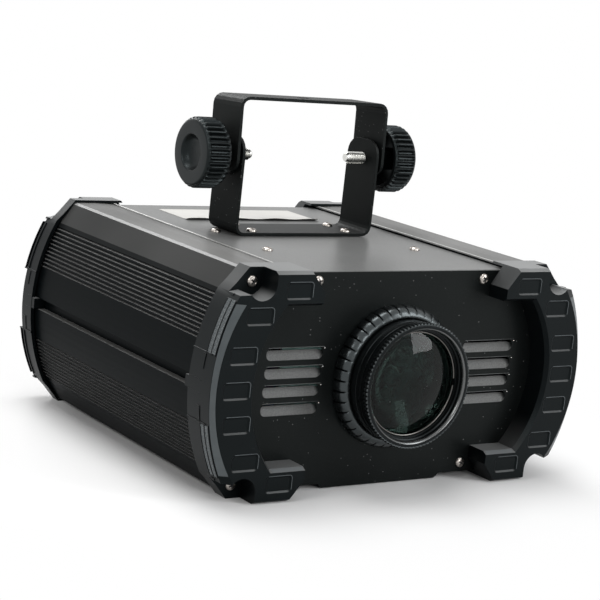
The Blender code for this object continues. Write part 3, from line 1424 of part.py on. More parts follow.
def data_socket_body(x):
    def drawn(mesh):
        rod(mesh, DATA_BODY, "y", (x, 0.0), CASE_LENGTH - DATA_DEPTH, OUTSIDE + DATA_FLANGE / 2, SMALL_ROUND)
    return drawn


def data_pin_places(x):
    for angle in (90, 210, 330):
        turn = math.radians(angle)
        yield x + DATA_PIN_CIRCLE * math.cos(turn), DATA_PIN_CIRCLE * math.sin(turn)


def data_in_cavity(mesh):
    face = OUTSIDE + DATA_FLANGE
    rod(mesh, DATA_BORE, "y", (DATA_IN_X, 0.0), face - DATA_CAVITY, face + PAST, SMALL_ROUND)


def data_in_pins(mesh):
    face = OUTSIDE + DATA_FLANGE
    for x, z in data_pin_places(DATA_IN_X):
        rod(mesh, DATA_PIN, "y", (x, z), face - DATA_CAVITY - DATA_PIN, face - DATA_FLANGE)


def data_out_cavity(mesh):
    """The plug's ring groove and its three contact holes."""
    face = OUTSIDE + DATA_FLANGE
    inner = DATA_BORE - DATA_RING
    bottom = face - DATA_CAVITY
    profile = [(inner, bottom), (DATA_BORE, bottom), (DATA_BORE, face + PAST), (inner, face + PAST)]
    turned(mesh, profile, SMALL_ROUND, "y", (DATA_OUT_X, 0.0))
    for x, z in data_pin_places(DATA_OUT_X):
        rod(mesh, DATA_PIN + FIT, "y", (x, z), bottom, face + PAST)


data_in = piece("dmx_in_socket", data_socket_shape(DATA_IN_X), INSERT_BLACK)
add(data_in, "body", data_socket_body(DATA_IN_X))
cut(data_in, "cavity", data_in_cavity)
add(data_in, "pins", data_in_pins)
data_out = piece("dmx_out_socket", data_socket_shape(DATA_OUT_X), INSERT_BLACK)
add(data_out, "body", data_socket_body(DATA_OUT_X))
cut(data_out, "cavity", data_out_cavity)


# Control board with its display and buttons

def control_board_shape(mesh):
    low_x = DISPLAY_X - DISPLAY_HALF_X - CONTROL_MARGIN
    half_z = DISPLAY_HALF_Z + CONTROL_MARGIN
    outline = box_outline(((low_x + CONTROL_END_X) / 2, DISPLAY_Z), (CONTROL_END_X - low_x) / 2, half_z)
    prism(mesh, outline, "y", CONTROL_Y - BOARD, CONTROL_Y)


def control_parts(mesh):
    """The display block, a switch under each button, and posts to the panel."""
    low = CONTROL_Y - BOARD / 2
    display_top = CASE_LENGTH - FIT - DISPLAY_PANE - FIT
    block = box_outline((DISPLAY_X, DISPLAY_Z), DISPLAY_HALF_X - SHEET, DISPLAY_HALF_Z - SHEET)
    prism(mesh, block, "y", low, display_top)
    switch_top = button_tail() - BUTTON_TRAVEL - FIT
    for index in range(len(BUTTON_NAMES)):
        switch = box_outline((button_x(index), DISPLAY_Z), SWITCH_HALF, SWITCH_HALF)
        prism(mesh, switch, "y", low, switch_top)
    for x in (DISPLAY_X - DISPLAY_HALF_X - CONTROL_MARGIN / 2, CONTROL_END_X - CONTROL_MARGIN / 2):
        for sign in (-1, 1):
            z = DISPLAY_Z + sign * (DISPLAY_HALF_Z + CONTROL_MARGIN / 2)
            rod(mesh, CONTROL_MARGIN / 3, "y", (x, z), low, REAR_INNER - FIT)


def button_tail():
    return REAR_INNER - FIT - BUTTON_FLANGE_THICK - BUTTON_TAIL


control_board = piece("control_board", control_board_shape, CIRCUIT)
add(control_board, "parts", control_parts)


def display_window_shape(mesh):
    pane = box_outline((DISPLAY_X, DISPLAY_Z), DISPLAY_HALF_X, DISPLAY_HALF_Z)
    prism(mesh, pane, "y", CASE_LENGTH - FIT - DISPLAY_PANE, CASE_LENGTH - FIT)


piece("display_window", display_window_shape, PANE)


def button_shape(x):
    flange_top = REAR_INNER - FIT

    def drawn(mesh):
        top = CASE_LENGTH + BUTTON_PROUD
        under = flange_top - BUTTON_FLANGE_THICK
        profile = [(0.0, top), (BUTTON_RADIUS - BUTTON_EDGE, top), (BUTTON_RADIUS, top - BUTTON_EDGE)]
        profile += [(BUTTON_RADIUS, flange_top), (BUTTON_FLANGE, flange_top), (BUTTON_FLANGE, under)]
        profile += [(BUTTON_STEM, under), (BUTTON_STEM, button_tail()), (0.0, button_tail())]
        turned(mesh, profile, PIN_ROUND, "y", (x, DISPLAY_Z))
    return drawn


for index, name in enumerate(BUTTON_NAMES):
    x = button_x(index)
    piece(name, button_shape(x), BUTTON_GREY, (x, CASE_LENGTH, DISPLAY_Z), smooth=35)


# Screws: a pan head and a plain shank, drawn pointing along +Y and then turned

def screw(name, place, turn, length):
    def drawn(mesh):
        profile = [(share * HEAD_RADIUS, -rise * HEAD_HEIGHT) for share, rise in HEAD_CROWN]
        profile += [(HEAD_RADIUS, 0.0), (SHANK_RADIUS, 0.0), (SHANK_RADIUS, length), (0.0, length)]
        turned(mesh, profile, PIN_ROUND)
    node = piece(name, drawn, NICKEL, smooth=35)
    node.location = place
    node.rotation_euler = turn
    return node


DOWNWARD = (math.radians(-90), 0.0, 0.0)
FORWARD = (0.0, 0.0, 0.0)
HEIGHTS = (("upper", 1), ("lower", -1))
HANDS = (("left", -1), ("right", 1))

for hand_name, sign in HANDS:
    for height_name, rise in HEIGHTS:
        label = height_name + "_" + hand_name
        seat = (sign * BOSS_X, FLOOR_FRONT - FIT, rise * BOSS_Z)
        screw(label + "_guard_screw", seat, FORWARD, SCREW_LONG)
        seat = (sign * PANEL_SCREW_X, -FIT, rise * PANEL_SCREW_Z)
        screw(label + "_panel_screw", seat, FORWARD, SCREW_SHORT)

DEPTHS = (("front", 0), ("rear", 1))
base_places = sorted(base_screw_places())
plate_places = sorted(plate_screw_places())
for index, (x, y) in enumerate(base_places):
    label = DEPTHS[index % 2][0] + "_" + HANDS[index // 2][0]
    screw(label + "_bracket_screw", (x, y, LOWER_BASE_Z + STRAP + FIT), DOWNWARD, SCREW_LONG)
for index, (x, y) in enumerate(plate_places):
    label = DEPTHS[index % 2][0] + "_" + HANDS[index // 2][0]
    screw(label + "_plate_screw", (x, y, PLATE_TOP + FIT), DOWNWARD, SCREW_SHORT)
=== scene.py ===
"""Looks of the water wave effect light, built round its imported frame.

Pieces are drawn in millimetres in case coordinates: the origin is the middle of the front
panel's outer face, +X right as seen from the front, +Y to the rear, +Z up.
"""

import math

import bmesh
import bpy
from mathutils import Matrix, Vector


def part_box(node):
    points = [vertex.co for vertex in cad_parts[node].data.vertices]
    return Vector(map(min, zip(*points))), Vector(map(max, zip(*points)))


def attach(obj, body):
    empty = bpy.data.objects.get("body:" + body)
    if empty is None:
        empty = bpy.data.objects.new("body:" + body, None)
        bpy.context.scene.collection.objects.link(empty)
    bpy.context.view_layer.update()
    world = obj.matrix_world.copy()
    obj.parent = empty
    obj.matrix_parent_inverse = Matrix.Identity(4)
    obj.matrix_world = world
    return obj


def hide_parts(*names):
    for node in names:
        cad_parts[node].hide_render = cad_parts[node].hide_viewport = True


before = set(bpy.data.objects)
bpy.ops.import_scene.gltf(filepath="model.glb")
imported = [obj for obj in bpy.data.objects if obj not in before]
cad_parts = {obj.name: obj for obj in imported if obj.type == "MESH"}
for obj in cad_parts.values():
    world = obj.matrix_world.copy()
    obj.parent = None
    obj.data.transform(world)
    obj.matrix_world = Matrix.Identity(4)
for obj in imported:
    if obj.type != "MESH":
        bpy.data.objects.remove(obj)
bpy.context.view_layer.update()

# Where case coordinates stand in the frame
MM = 0.001
guard_low, guard_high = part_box("front_right_guard")
CASE = Vector((0.0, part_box("front_panel")[0].y, (guard_low.z + guard_high.z) / 2))
TO_FRAME = Matrix.Translation(CASE) @ Matrix.Scale(MM, 4)
LENGTH = (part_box("rear_panel")[1].y - CASE.y) / MM
HALF = (guard_high.z - CASE.z) / MM
WIDE = guard_high.x / MM

# Side profile and guards
GUARD_R = 141.0
SIDE_X = WIDE - GUARD_R
SIDE_STEPS = 18
EXTRUSION_R = 136.8
FRONT_REACH, FRONT_FLANGE = 20.5, 12.0
REAR_REACH, REAR_FLANGE = 12.0, 7.5
ARM_TIP = WIDE - 72.7
ARM_INNER = ARM_TIP - 10.6
ARM_BEND = HALF - 15.2
ARM_LOW = HALF - 24.5
MOUTH_X = WIDE - 123.7
MOUTH_R = 90.0
CORNER_X = WIDE - 31.4
CHAMFER_X = WIDE - 21.6
CHAMFER_Z = HALF - 11.3
SHOULDER_Z = HALF - 16.5
BOSS_X = CORNER_X - 2.6
BOSS_Z = HALF - 10.0
FLOOR_Y = -2.0
ROOF_Z = HALF - 1.7
FACET_Z = HALF - 18.0
ROOM_PAST = 12.0
ROOM_GAP = 1.3
MOUTH_BEVEL = 2.1
TOP_BEVEL = 2.0
FACE_BRINK = 3.4
FACE_SHIFT = 22.0
BRINK_DEEP = 3.6
SCALLOP_AT, SCALLOP_R = (BOSS_X + 2.0, HALF - 9.0), 11.0
POCKET_HALF = (10.75, 6.1)
POCKET_BEND = 2.6
POCKET_IN = 6.0
POCKET_HEIGHTS = (0.0, 24.3, -24.3, 51.5, -51.5)
ARM_POCKET_Z = HALF - 13.6
RIM_OUT = 0.3
RIM_BEND = 2.4
RIM_HALF_WIDE = 0.24
SKIN_THICK = 0.4
TAB_ROOT_X = SIDE_X + 131.3
TAB_HALF = 4.1

# Relief on a guard's side: heights above the middle, depths from front to back, how proud
BAND_HEIGHTS = (24.0, 62.0)
RIDGES = ((-10.9, -10.3, 0.7), (-5.6, -4.9, 0.75), (-16.3, -15.6, 0.6))
END_BAR = ((64.6, 65.9), (-9.6, -5.0), 0.7)
LOW_BAR = ((13.0, 23.6), (-4.9, -1.2), 0.45)
SEAM_HEIGHTS = (4.2, 5.2)
STIPPLE_HEIGHTS, STIPPLE_DEPTHS = (24.9, 62.0), (-15.6, -5.6)

# Panels, plate and lens
PLATE_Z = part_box("top_plate")[1].z / MM - CASE.z / MM
PANEL_X = 118.0
PANEL_CORNER = 6.0
PANEL_SHOULDER_Z = 62.0
PANEL_SIDE = (140.0, 50.0)
PANEL_LOW = -78.5
PANEL_GAP = 0.3
LENS_HOLE_R = 47.6
LOUVRE_IN, LOUVRE_OUT = 64.3, 112.0
LOUVRE_MIDDLE = (LOUVRE_IN + LOUVRE_OUT) / 2
LOUVRE_HALF_LONG = (LOUVRE_OUT - LOUVRE_IN) / 2
LOUVRE_HALF_HIGH = 4.25
LOUVRE_ROWS = (19.3, 5.9, -7.5, -20.9)
LOUVRE_DEEP = 4.6
LOUVRE_END = 4.0
LOUVRE_SLIT = 2.6
LOUVRE_THICK = 1.2
SHEET = 1.5
COLLAR_RIBS = 40
RIM_TEETH = 96
SNAP_AT, SNAP_WIRE_R, SNAP_GAP = (38.4, -24.0), 0.75, 8.0
GLASS_R, GLASS_REAR_R, GLASS_CROWN = 38.9, 36.0, 6.0
GLASS_FRONT, GLASS_BACK = -21.7, -19.2

# Bracket gear
PIVOT = (150.5, 138.5)
KNOB_RIBS = 36
WASHER_TEETH = 36
STUD_R = 4.7
STUD_TIP, STUD_END = 45.0, 90.0
STUD_CHAMFER = 0.9
THREAD_PITCH, THREAD_ROOT, THREAD_STEPS = 1.6, 3.5, 24

# Screws and label
PANEL_SCREW = (75.2, 0.0, 71.3)
BASE_SCREW_X, PLATE_SCREW_X = 44.5, 68.5
SCREW_PLACES_Y = (("front", 138.0, 77.5), ("rear", 163.0, 150.5))
LOWER_STRAP = 2.8
LABEL_LEFT, LABEL_FRONT = -65.0, 198.0
LABEL_WIDE, LABEL_LONG = 126.0, 48.0
LABEL_THICK = 0.15

# Edges sharper than this many degrees are rounded
EDGE_ANGLE = 28

# Camera, solved from the photograph
CAMERA_AT = (-0.8070, -1.14005, 0.3809)
CAMERA_YAW, CAMERA_PITCH, CAMERA_ROLL = 35.2, 10.923, 6.402
CAMERA_LENS, CAMERA_SENSOR = 109.29, 36.0

# Floor, in metres
FLOOR_RADIUS = 6.0
FLOOR_THICK = 0.01


# Drawing: outlines are lists of (a, b) in the plane across their axis

PLANES = {"x": (1, 2, 0), "y": (0, 2, 1), "z": (0, 1, 2)}


def arc(centre, radius, start, end, steps):
    """Points on an arc from start to end, in degrees, both ends included."""
    turns = [math.radians(start + (end - start) * index / steps) for index in range(steps + 1)]
    return [(centre[0] + radius * math.cos(t), centre[1] + radius * math.sin(t)) for t in turns]


def circle(centre, radius, steps):
    return arc(centre, radius, 0, 360 * (steps - 1) / steps, steps - 1)


def rounded(centre, half_a, half_b, radius, steps=5):
    points = []
    for sign_a, sign_b, start in ((1, 1, 0), (-1, 1, 90), (-1, -1, 180), (1, -1, 270)):
        corner = (centre[0] + sign_a * (half_a - radius), centre[1] + sign_b * (half_b - radius))
        points += arc(corner, radius, start, start + 90, steps)
    return points


def flipped(points):
    """The same outline mirrored in its second coordinate and run backwards."""
    return [(a, -b) for a, b in reversed(points)]


def spot(axis, a, b, level):
    """A point of an outline, at a level along the outline's axis."""
    first, second, along = PLANES[axis]
    point = [0.0, 0.0, 0.0]
    point[first], point[second], point[along] = a, b, level
    return point


def loft(mesh, rings, closed=False):
    """A solid through rings of equal count: capped at both ends, or closed on itself."""
    loops = [[mesh.verts.new(point) for point in ring] for ring in rings]
    pairs = list(zip(loops, loops[1:]))
    if closed:
        pairs.append((loops[-1], loops[0]))
    for low, high in pairs:
        for index in range(len(low)):
            after = (index + 1) % len(low)
            mesh.faces.new((low[index], low[after], high[after], high[index]))
    if not closed:
        mesh.faces.new(list(reversed(loops[0])))
        mesh.faces.new(loops[-1])


def prism(mesh, outline, axis, low, high):
    loft(mesh, [[spot(axis, a, b, level) for a, b in outline] for level in (low, high)])


def rings_of(profile, steps, axis, centre, ribs):
    """Rings of a profile of (radius, place[, notch]) about an axis.

    The ribs give, step by step, what share of the notch comes off the radius.
    """
    rings = []
    for radius, place, *notch in profile:
        deep = notch[0] if notch else 0.0
        ring = []
        for index in range(steps):
            reach = radius - deep * ribs[index % len(ribs)]
            angle = 2 * math.pi * index / steps
            a, b = centre[0] + reach * math.cos(angle), centre[1] + reach * math.sin(angle)
            ring.append(spot(axis, a, b, place))
        rings.append(ring)
    return rings


def turned(mesh, profile, steps, axis="y", centre=(0.0, 0.0), ribs=(0.0,)):
    """A profile that closes on itself, turned about an axis."""
    loft(mesh, rings_of(profile, steps, axis, centre, ribs), closed=True)


def lathe(mesh, profile, steps, axis="y", centre=(0.0, 0.0)):
    """A profile that starts and ends near the axis, turned and capped there."""
    loft(mesh, rings_of(profile, steps, axis, centre, (0.0,)))


def sheet(mesh, up, across, thick, point):
    """A thin sheet: two grids of points, one for each side, joined along their rims."""
    low, high = [[[mesh.verts.new(point(step, index, level)) for index in range(across + 1)]
                  for step in range(up + 1)] for level in (0.0, thick)]
    for step in range(up):
        for index in range(across):
            for rows in (low, high):
                corners = (rows[step][index], rows[step][index + 1])
                mesh.faces.new((*corners, rows[step + 1][index + 1], rows[step + 1][index]))
    rim = [(0, i) for i in range(across + 1)] + [(j, across) for j in range(1, up + 1)]
    rim += [(up, i) for i in range(across - 1, -1, -1)] + [(j, 0) for j in range(up - 1, 0, -1)]
    for (a, b), (c, d) in zip(rim, rim[1:] + rim[:1]):
        mesh.faces.new((low[a][b], low[c][d], high[c][d], high[a][b]))


def side_x(z, radius):
    """Where a circle about the side profile's centre stands at a height."""
    return SIDE_X + math.sqrt(radius * radius - z * z)


def side_curve(radius, top, bottom, steps):
    """Points down that circle from one height to another."""
    heights = [top + (bottom - top) * index / steps for index in range(steps + 1)]
    return [(side_x(z, radius), z) for z in heights]


def side_slab(mesh, sign, heights, depths, proud, steps=8):
    """A thin slab on the guard's curved side, in its upper half (1) or mirrored below (-1)."""
    low, high = sorted(sign * height for height in heights)
    outer = side_curve(GUARD_R + proud, high, low, steps)
    inner = side_curve(GUARD_R - 1.5, low, high, steps)
    prism(mesh, outer + inner, "y", *depths)


def mesh_of(draw):
    """What a function draws, as mesh data with its faces turned outwards."""
    mesh = bmesh.new()
    draw(mesh)
    bmesh.ops.recalc_face_normals(mesh, faces=mesh.faces)
    data = bpy.data.meshes.new("drawn")
    mesh.to_mesh(data)
    mesh.free()
    return data


def add_object(name, data):
    thing = bpy.data.objects.new(name, data)
    bpy.context.scene.collection.objects.link(thing)
    return thing


def round_edges(thing, width):
    """A small bevel along a thing's sharp edges."""
    change = thing.modifiers.new("edges", "BEVEL")
    change.width, change.segments, change.limit_method = width, 2, "ANGLE"
    change.angle_limit = math.radians(EDGE_ANGLE)


def shape(draw, cuts=(), bevel=0.0, smooth=32, extra=None):
    """A finished mesh in millimetres: drawn, cut, its edges rounded, its shading smoothed.

    What extra draws is joined on at the end, neither cut nor rounded.
    """
    thing = add_object("drawn", mesh_of(draw))
    tools = []
    for index, tool_draw in enumerate(cuts):
        cutter = add_object("cutter", mesh_of(tool_draw))
        tools.append(cutter)
        change = thing.modifiers.new(f"cut_{index}", "BOOLEAN")
        change.operation, change.solver, change.object = "DIFFERENCE", "EXACT", cutter
    if bevel:
        round_edges(thing, bevel)
    evaluated = thing.evaluated_get(bpy.context.evaluated_depsgraph_get())
    data = bpy.data.meshes.new_from_object(evaluated)
    for spare in (thing, *tools):
        bpy.data.objects.remove(spare)
    if extra:
        joined = bmesh.new()
        joined.from_mesh(data)
        joined.from_mesh(mesh_of(extra))
        joined.to_mesh(data)
        joined.free()
    data.shade_smooth()
    data.set_sharp_from_angle(angle=math.radians(smooth))
    return data


def mirror(data, axis, about=0.0):
    """A copy of a mesh on the other side of a plane across an axis."""
    copy = data.copy()
    scale = Vector((1.0, 1.0, 1.0))
    scale["xyz".index(axis)] = -1.0
    offset = Vector((0.0, 0.0, 0.0))
    offset["xyz".index(axis)] = 2 * about
    copy.transform(Matrix.Translation(offset) @ Matrix.Diagonal((*scale, 1.0)))
    copy.flip_normals()
    return copy


def both_sides(data):
    """A mesh drawn for the right hand side, and its mirror image for the left."""
    return (("right", data), ("left", mirror(data, "x")))


def dress(name, data, finish, body, stands_for=(), turn=None):
    """Puts a finished mesh into the frame as a piece that rides on a body."""
    data = data.copy()
    data.name = name
    if turn is not None:
        data.transform(turn)
    data.transform(TO_FRAME)
    data.materials.clear()
    data.materials.append(finish)
    piece = add_object(name, data)
    piece.modifiers.new("flat_faces", "WEIGHTED_NORMAL").keep_sharp = True
    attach(piece, body)
    if stands_for:
        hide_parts(*stands_for)


# Finishes: a wire wraps a socket, and arithmetic on wires adds Math nodes

class Wire:
    """A socket of a node, which takes part in arithmetic with numbers and other wires."""

    def __init__(self, recipe, socket):
        self.recipe = recipe
        self.socket = socket

    def maths(self, operation, *terms):
        return self.recipe.node("Math", {"operation": operation}, dict(enumerate(terms)))

    def __add__(self, other):
        return self.maths("ADD", self, other)

    def __sub__(self, other):
        return self.maths("SUBTRACT", self, other)

    def __rsub__(self, other):
        return self.maths("SUBTRACT", other, self)

    def __mul__(self, other):
        return self.maths("MULTIPLY", self, other)

    def __gt__(self, other):
        return self.maths("GREATER_THAN", self, other)

    __radd__ = __add__
    __rmul__ = __mul__

    def eased(self, low, high):
        """0 below low, 1 above high, and a soft step between."""
        sockets = {"Value": self, "From Min": low, "From Max": high}
        return self.recipe.node("MapRange", {"interpolation_type": "SMOOTHSTEP"}, sockets)


class Recipe:
    """A node tree under construction, for a finish or for the world."""

    def __init__(self, tree):
        self.tree = tree

    def node(self, kind, settings=None, sockets=None, output=0):
        """Adds a node by its type, its settings first, then its sockets."""
        made = self.tree.nodes.new("ShaderNode" + kind)
        for key, value in (settings or {}).items():
            if key == "stops":
                ramp = made.color_ramp.elements
                while len(ramp) < len(value):
                    ramp.new(0.5)
                for element, (place, colour) in zip(ramp, value):
                    element.position, element.color = place, (*colour, 1.0)
            elif key == "interpolation":
                made.color_ramp.interpolation = value
            else:
                setattr(made, key, value)
        for key, value in (sockets or {}).items():
            if isinstance(value, Wire):
                self.tree.links.new(value.socket, made.inputs[key])
            else:
                made.inputs[key].default_value = value
        return Wire(self, made.outputs[output])

    def seen(self):
        """1 for rays that see the background: from the camera, a gloss or a glass."""
        kinds = ("Is Camera Ray", "Is Glossy Ray", "Is Transmission Ray")
        camera, glossy, through = [self.node("LightPath", output=kind) for kind in kinds]
        return camera.maths("MAXIMUM", camera, glossy.maths("MAXIMUM", glossy, through))


class Finish(Recipe):
    """A material under construction round one Principled shader."""

    def __init__(self, name, **uniform):
        self.material = bpy.data.materials.new(name)
        self.material.use_nodes = True
        super().__init__(self.material.node_tree)
        self.shader = self.tree.nodes["Principled BSDF"]
        for key, value in uniform.items():
            self.shader.inputs[key.replace("_", " ")].default_value = value

    def place(self, stretch=(1.0, 1.0, 1.0)):
        """Position on the piece in metres, squeezed along each axis by a factor."""
        here = self.node("TexCoord", output="Object")
        return self.node("VectorMath", {"operation": "MULTIPLY"}, {0: here, 1: stretch})

    def noise(self, scale, detail=2.0, stretch=(1.0, 1.0, 1.0), rough=0.5):
        """Cloudy noise in 0..1, its size in cycles per metre."""
        sockets = {"Vector": self.place(stretch), "Scale": scale, "Detail": detail, "Roughness": rough}
        return self.node("TexNoise", None, sockets)

    def cells(self, scale, output, feature="F1"):
        """Irregular cells: the distance to a cell's middle or edge, or a colour for each cell."""
        sockets = {"Vector": self.place(), "Scale": scale}
        return self.node("TexVoronoi", {"feature": feature}, sockets, output)

    def mix(self, factor, low, high):
        """A blend of two colours: inputs 0, 6 and 7 and output 2 are those for colours."""
        sockets = {0: factor, 6: low, 7: high}
        return self.node("Mix", {"data_type": "RGBA"}, sockets, 2)

    def dust(self, scale, share, size):
        """A few fine specks: a mask of small dots in a share of the cells."""
        distance = self.cells(scale, "Distance")
        chance = self.node("SeparateColor", None, {0: self.cells(scale, "Color")})
        return (size - distance > 0.0) * (chance > 1.0 - share)

    def upward(self, low, high):
        """How far a surface faces the ceiling, used to paint upward faces lighter as if lit from above."""
        normal = self.node("NewGeometry", output="Normal")
        return self.node("SeparateXYZ", None, {0: normal}, "Z").eased(low, high)

    def relief(self, height, depth, strength):
        """A height in 0..1, as a bump of a depth in millimetres."""
        sockets = {"Strength": strength, "Distance": depth * MM, "Height": height}
        return self.node("Bump", None, sockets)

    def feed(self, **sockets):
        """Links wires to the shader's sockets, and gives back the finished material."""
        for key, value in sockets.items():
            self.tree.links.new(value.socket, self.shader.inputs[key.replace("_", " ")])
        return self.material

    def bumpy(self, base, rough, height, depth, strength):
        """The finished material, from its colour, its roughness and a bump of a depth in millimetres."""
        return self.feed(Base_Color=base, Roughness=rough, Normal=self.relief(height, depth, strength))


def grey(level, tint=(1.0, 1.0, 1.0)):
    """A grey of a brightness, with a faint tint where one is given."""
    return (level * tint[0], level * tint[1], level * tint[2], 1.0)


def powder_coat(name, top_light_share, matt):
    """Fine-grained black powder coat with specks of dust; upward faces, the louvre ramps among them, are
    painted lighter as if lit from above.
    """
    coat = Finish(name, Specular_IOR_Level=0.115, Specular_Tint=(0.90, 1.0, 0.98, 1.0))
    grain = coat.noise(1100.0, 3.0)
    cloud = coat.noise(9.0, 3.0)
    speck = coat.dust(300.0, 0.22, 0.11)
    # Painted top light: a light grey painted onto upward faces, standing in for light from above
    painted_top_light = coat.upward(0.1, 0.6) * (0.55 + 0.6 * cloud) * top_light_share
    base = coat.mix(cloud.eased(0.35, 0.7), grey(0.0035, (0.80, 1.0, 1.03)), grey(0.0055, (0.85, 1.0, 1.0)))
    base = coat.mix(painted_top_light * (0.4 + grain), base, grey(0.20, (0.99, 1.0, 0.99)))
    base = coat.mix(grain.eased(0.62, 0.8) * 0.3, base, grey(0.045))
    base = coat.mix(speck * cloud, base, grey(0.30))
    rough = matt + 0.10 * cloud + 0.1 * grain
    return coat.bumpy(base, rough, grain, 0.08, 0.4)


def guard_plastic():
    """Moulded satin black plastic with a very fine spark texture and light scuffs; upward faces are painted
    lighter as if lit from above.
    """
    coat = Finish("guard_plastic", Specular_IOR_Level=0.115, Specular_Tint=(0.82, 0.97, 1.0, 1.0))
    grain = coat.noise(2400.0, 2.0)
    cloud = coat.noise(14.0, 4.0)
    scuff = coat.noise(60.0, 5.0, (1.0, 1.0, 6.0), 0.65)
    mask = scuff.eased(0.66, 0.78)
    # Painted top light: upward faces greyed as if lit from above
    painted_top_light = coat.upward(0.35, 0.95) * (0.5 + cloud)
    base = coat.mix(cloud, grey(0.0020, (0.72, 1.0, 1.14)), grey(0.0045, (0.76, 1.0, 1.12)))
    base = coat.mix(painted_top_light * 0.85, base, grey(0.20, (0.98, 1.0, 1.0)))
    base = coat.mix(mask * 0.2, base, grey(0.05))
    rough = 0.26 + 0.14 * cloud + 0.08 * mask
    return coat.bumpy(base, rough, grain, 0.05, 0.4)


def edge_highlight_plastic():
    """Painted highlight on the guard's edges and sloping brinks: a lighter grey, lighter still on upward
    faces as if lit from above.
    """
    coat = Finish("edge_highlight_plastic", Specular_IOR_Level=0.25)
    grain = coat.noise(1800.0, 2.0)
    patches = coat.noise(30.0, 5.0, (1.0, 1.0, 3.0), 0.6)
    base = coat.mix(patches, grey(0.060, (0.84, 1.0, 1.07)), grey(0.105, (0.88, 1.0, 1.05)))
    # Painted top light on upward faces
    base = coat.mix(coat.upward(0.3, 0.8), base, grey(0.16, (0.93, 1.0, 1.03)))
    return coat.bumpy(base, 0.3 + 0.15 * patches, grain, 0.04, 0.4)


def stippled_plastic():
    """The guard's coarser stippled band, a lighter grey than the rest of the guard."""
    coat = Finish("stippled_plastic", Specular_IOR_Level=0.2)
    stipple = coat.noise(1500.0, 1.0)
    base = coat.mix(stipple.eased(0.4, 0.7), grey(0.065, (0.86, 1.0, 1.06)), grey(0.200, (0.92, 1.0, 1.03)))
    rough = 0.42 + 0.15 * stipple
    return coat.bumpy(base, rough, stipple, 0.2, 0.7)


def anodised():
    """Black anodised extrusion with faint die lines; its sloping brink carries a painted highlight, and
    upward faces are painted lighter as if lit from above.
    """
    coat = Finish("anodised", Specular_IOR_Level=0.03, Specular_Tint=(0.75, 0.95, 1.0, 1.0))
    lines = coat.noise(900.0, 2.0, (1.0, 0.004, 1.0))
    grain = coat.noise(2600.0, 1.0)
    cloud = coat.noise(7.0, 2.0)
    # Painted top light: upward faces greyed as if lit from above
    painted_top_light = coat.upward(0.4, 0.85) * (0.4 + cloud)
    base = coat.mix(lines, grey(0.0020, (0.70, 1.0, 1.12)), grey(0.0050, (0.75, 1.0, 1.10)))
    base = coat.mix(painted_top_light * 0.9, base, grey(0.21, (1.0, 1.0, 0.98)))
    # Painted highlight: the sloping brink between the side and the top
    brink = coat.upward(0.70, 0.80) - coat.upward(0.93, 0.98)
    base = coat.mix(brink * 0.8, base, grey(0.36))
    rough = 0.26 + 0.14 * lines + 0.06 * grain
    return coat.bumpy(base, rough, lines + 0.4 * grain, 0.03, 0.5)


def knob_plastic():
    """Matt black moulding, slightly polished by hands."""
    coat = Finish("knob_plastic", Specular_IOR_Level=0.22, Specular_Tint=(0.82, 0.97, 1.0, 1.0))
    grain = coat.noise(1900.0, 2.0)
    wear = coat.noise(45.0, 4.0)
    base = coat.mix(wear, grey(0.0015, (0.75, 1.0, 1.10)), grey(0.0040, (0.8, 1.0, 1.06)))
    rough = 0.36 - 0.10 * wear + 0.08 * grain
    return coat.bumpy(base, rough, grain, 0.06, 0.4)


def lens_black(name, specular, rough):
    """Black lens fittings, dull or satin, with fine rings left by the lathe."""
    coat = Finish(name, Specular_IOR_Level=specular, Specular_Tint=(0.86, 0.97, 1.0, 1.0))
    rings = coat.noise(1200.0, 1.0, (0.01, 1.0, 0.01))
    cloud = coat.noise(40.0, 3.0)
    base = coat.mix(cloud, grey(0.0025, (0.80, 1.0, 1.08)), grey(0.0050, (0.85, 1.0, 1.05)))
    return coat.bumpy(base, rough + 0.1 * cloud, rings, 0.02, 0.25)


def plated(name, level, tint, streak, rough):
    """Bright plating: streaks, a few darker stains, and fine scratches."""
    coat = Finish(name, Metallic=1.0)
    lines = coat.noise(700.0, 2.0, streak)
    stain = coat.noise(160.0, 4.0)
    base = coat.mix(lines, grey(level, tint), grey(level * 1.25, tint))
    base = coat.mix(stain.eased(0.55, 0.8) * 0.5, base, grey(level * 0.45, tint))
    rough = rough + 0.12 * stain + 0.08 * lines
    return coat.bumpy(base, rough, lines, 0.02, 0.3)


def label_paper():
    """White sticker stock, blank, slightly yellowed at random, with a satin face."""
    coat = Finish("label_paper", Specular_IOR_Level=0.4)
    fibre = coat.noise(1300.0, 3.0)
    cloud = coat.noise(30.0, 2.0)
    base = coat.mix(cloud, (0.50, 0.49, 0.465, 1.0), (0.62, 0.61, 0.58, 1.0))
    base = coat.mix(fibre.eased(0.5, 0.8) * 0.2, base, (0.40, 0.41, 0.42, 1.0))
    return coat.bumpy(base, 0.35 + 0.2 * fibre, fibre, 0.03, 0.3)


def moulded(name, colour, light):
    """A plain moulding: fine spark texture and slow changes of gloss."""
    coat = Finish(name, Specular_IOR_Level=0.45)
    grain = coat.noise(2100.0, 2.0)
    cloud = coat.noise(35.0, 3.0)
    base = coat.mix(cloud, (*colour, 1.0), (*light, 1.0))
    rough = 0.4 + 0.15 * cloud + 0.1 * grain
    return coat.bumpy(base, rough, grain, 0.05, 0.4)


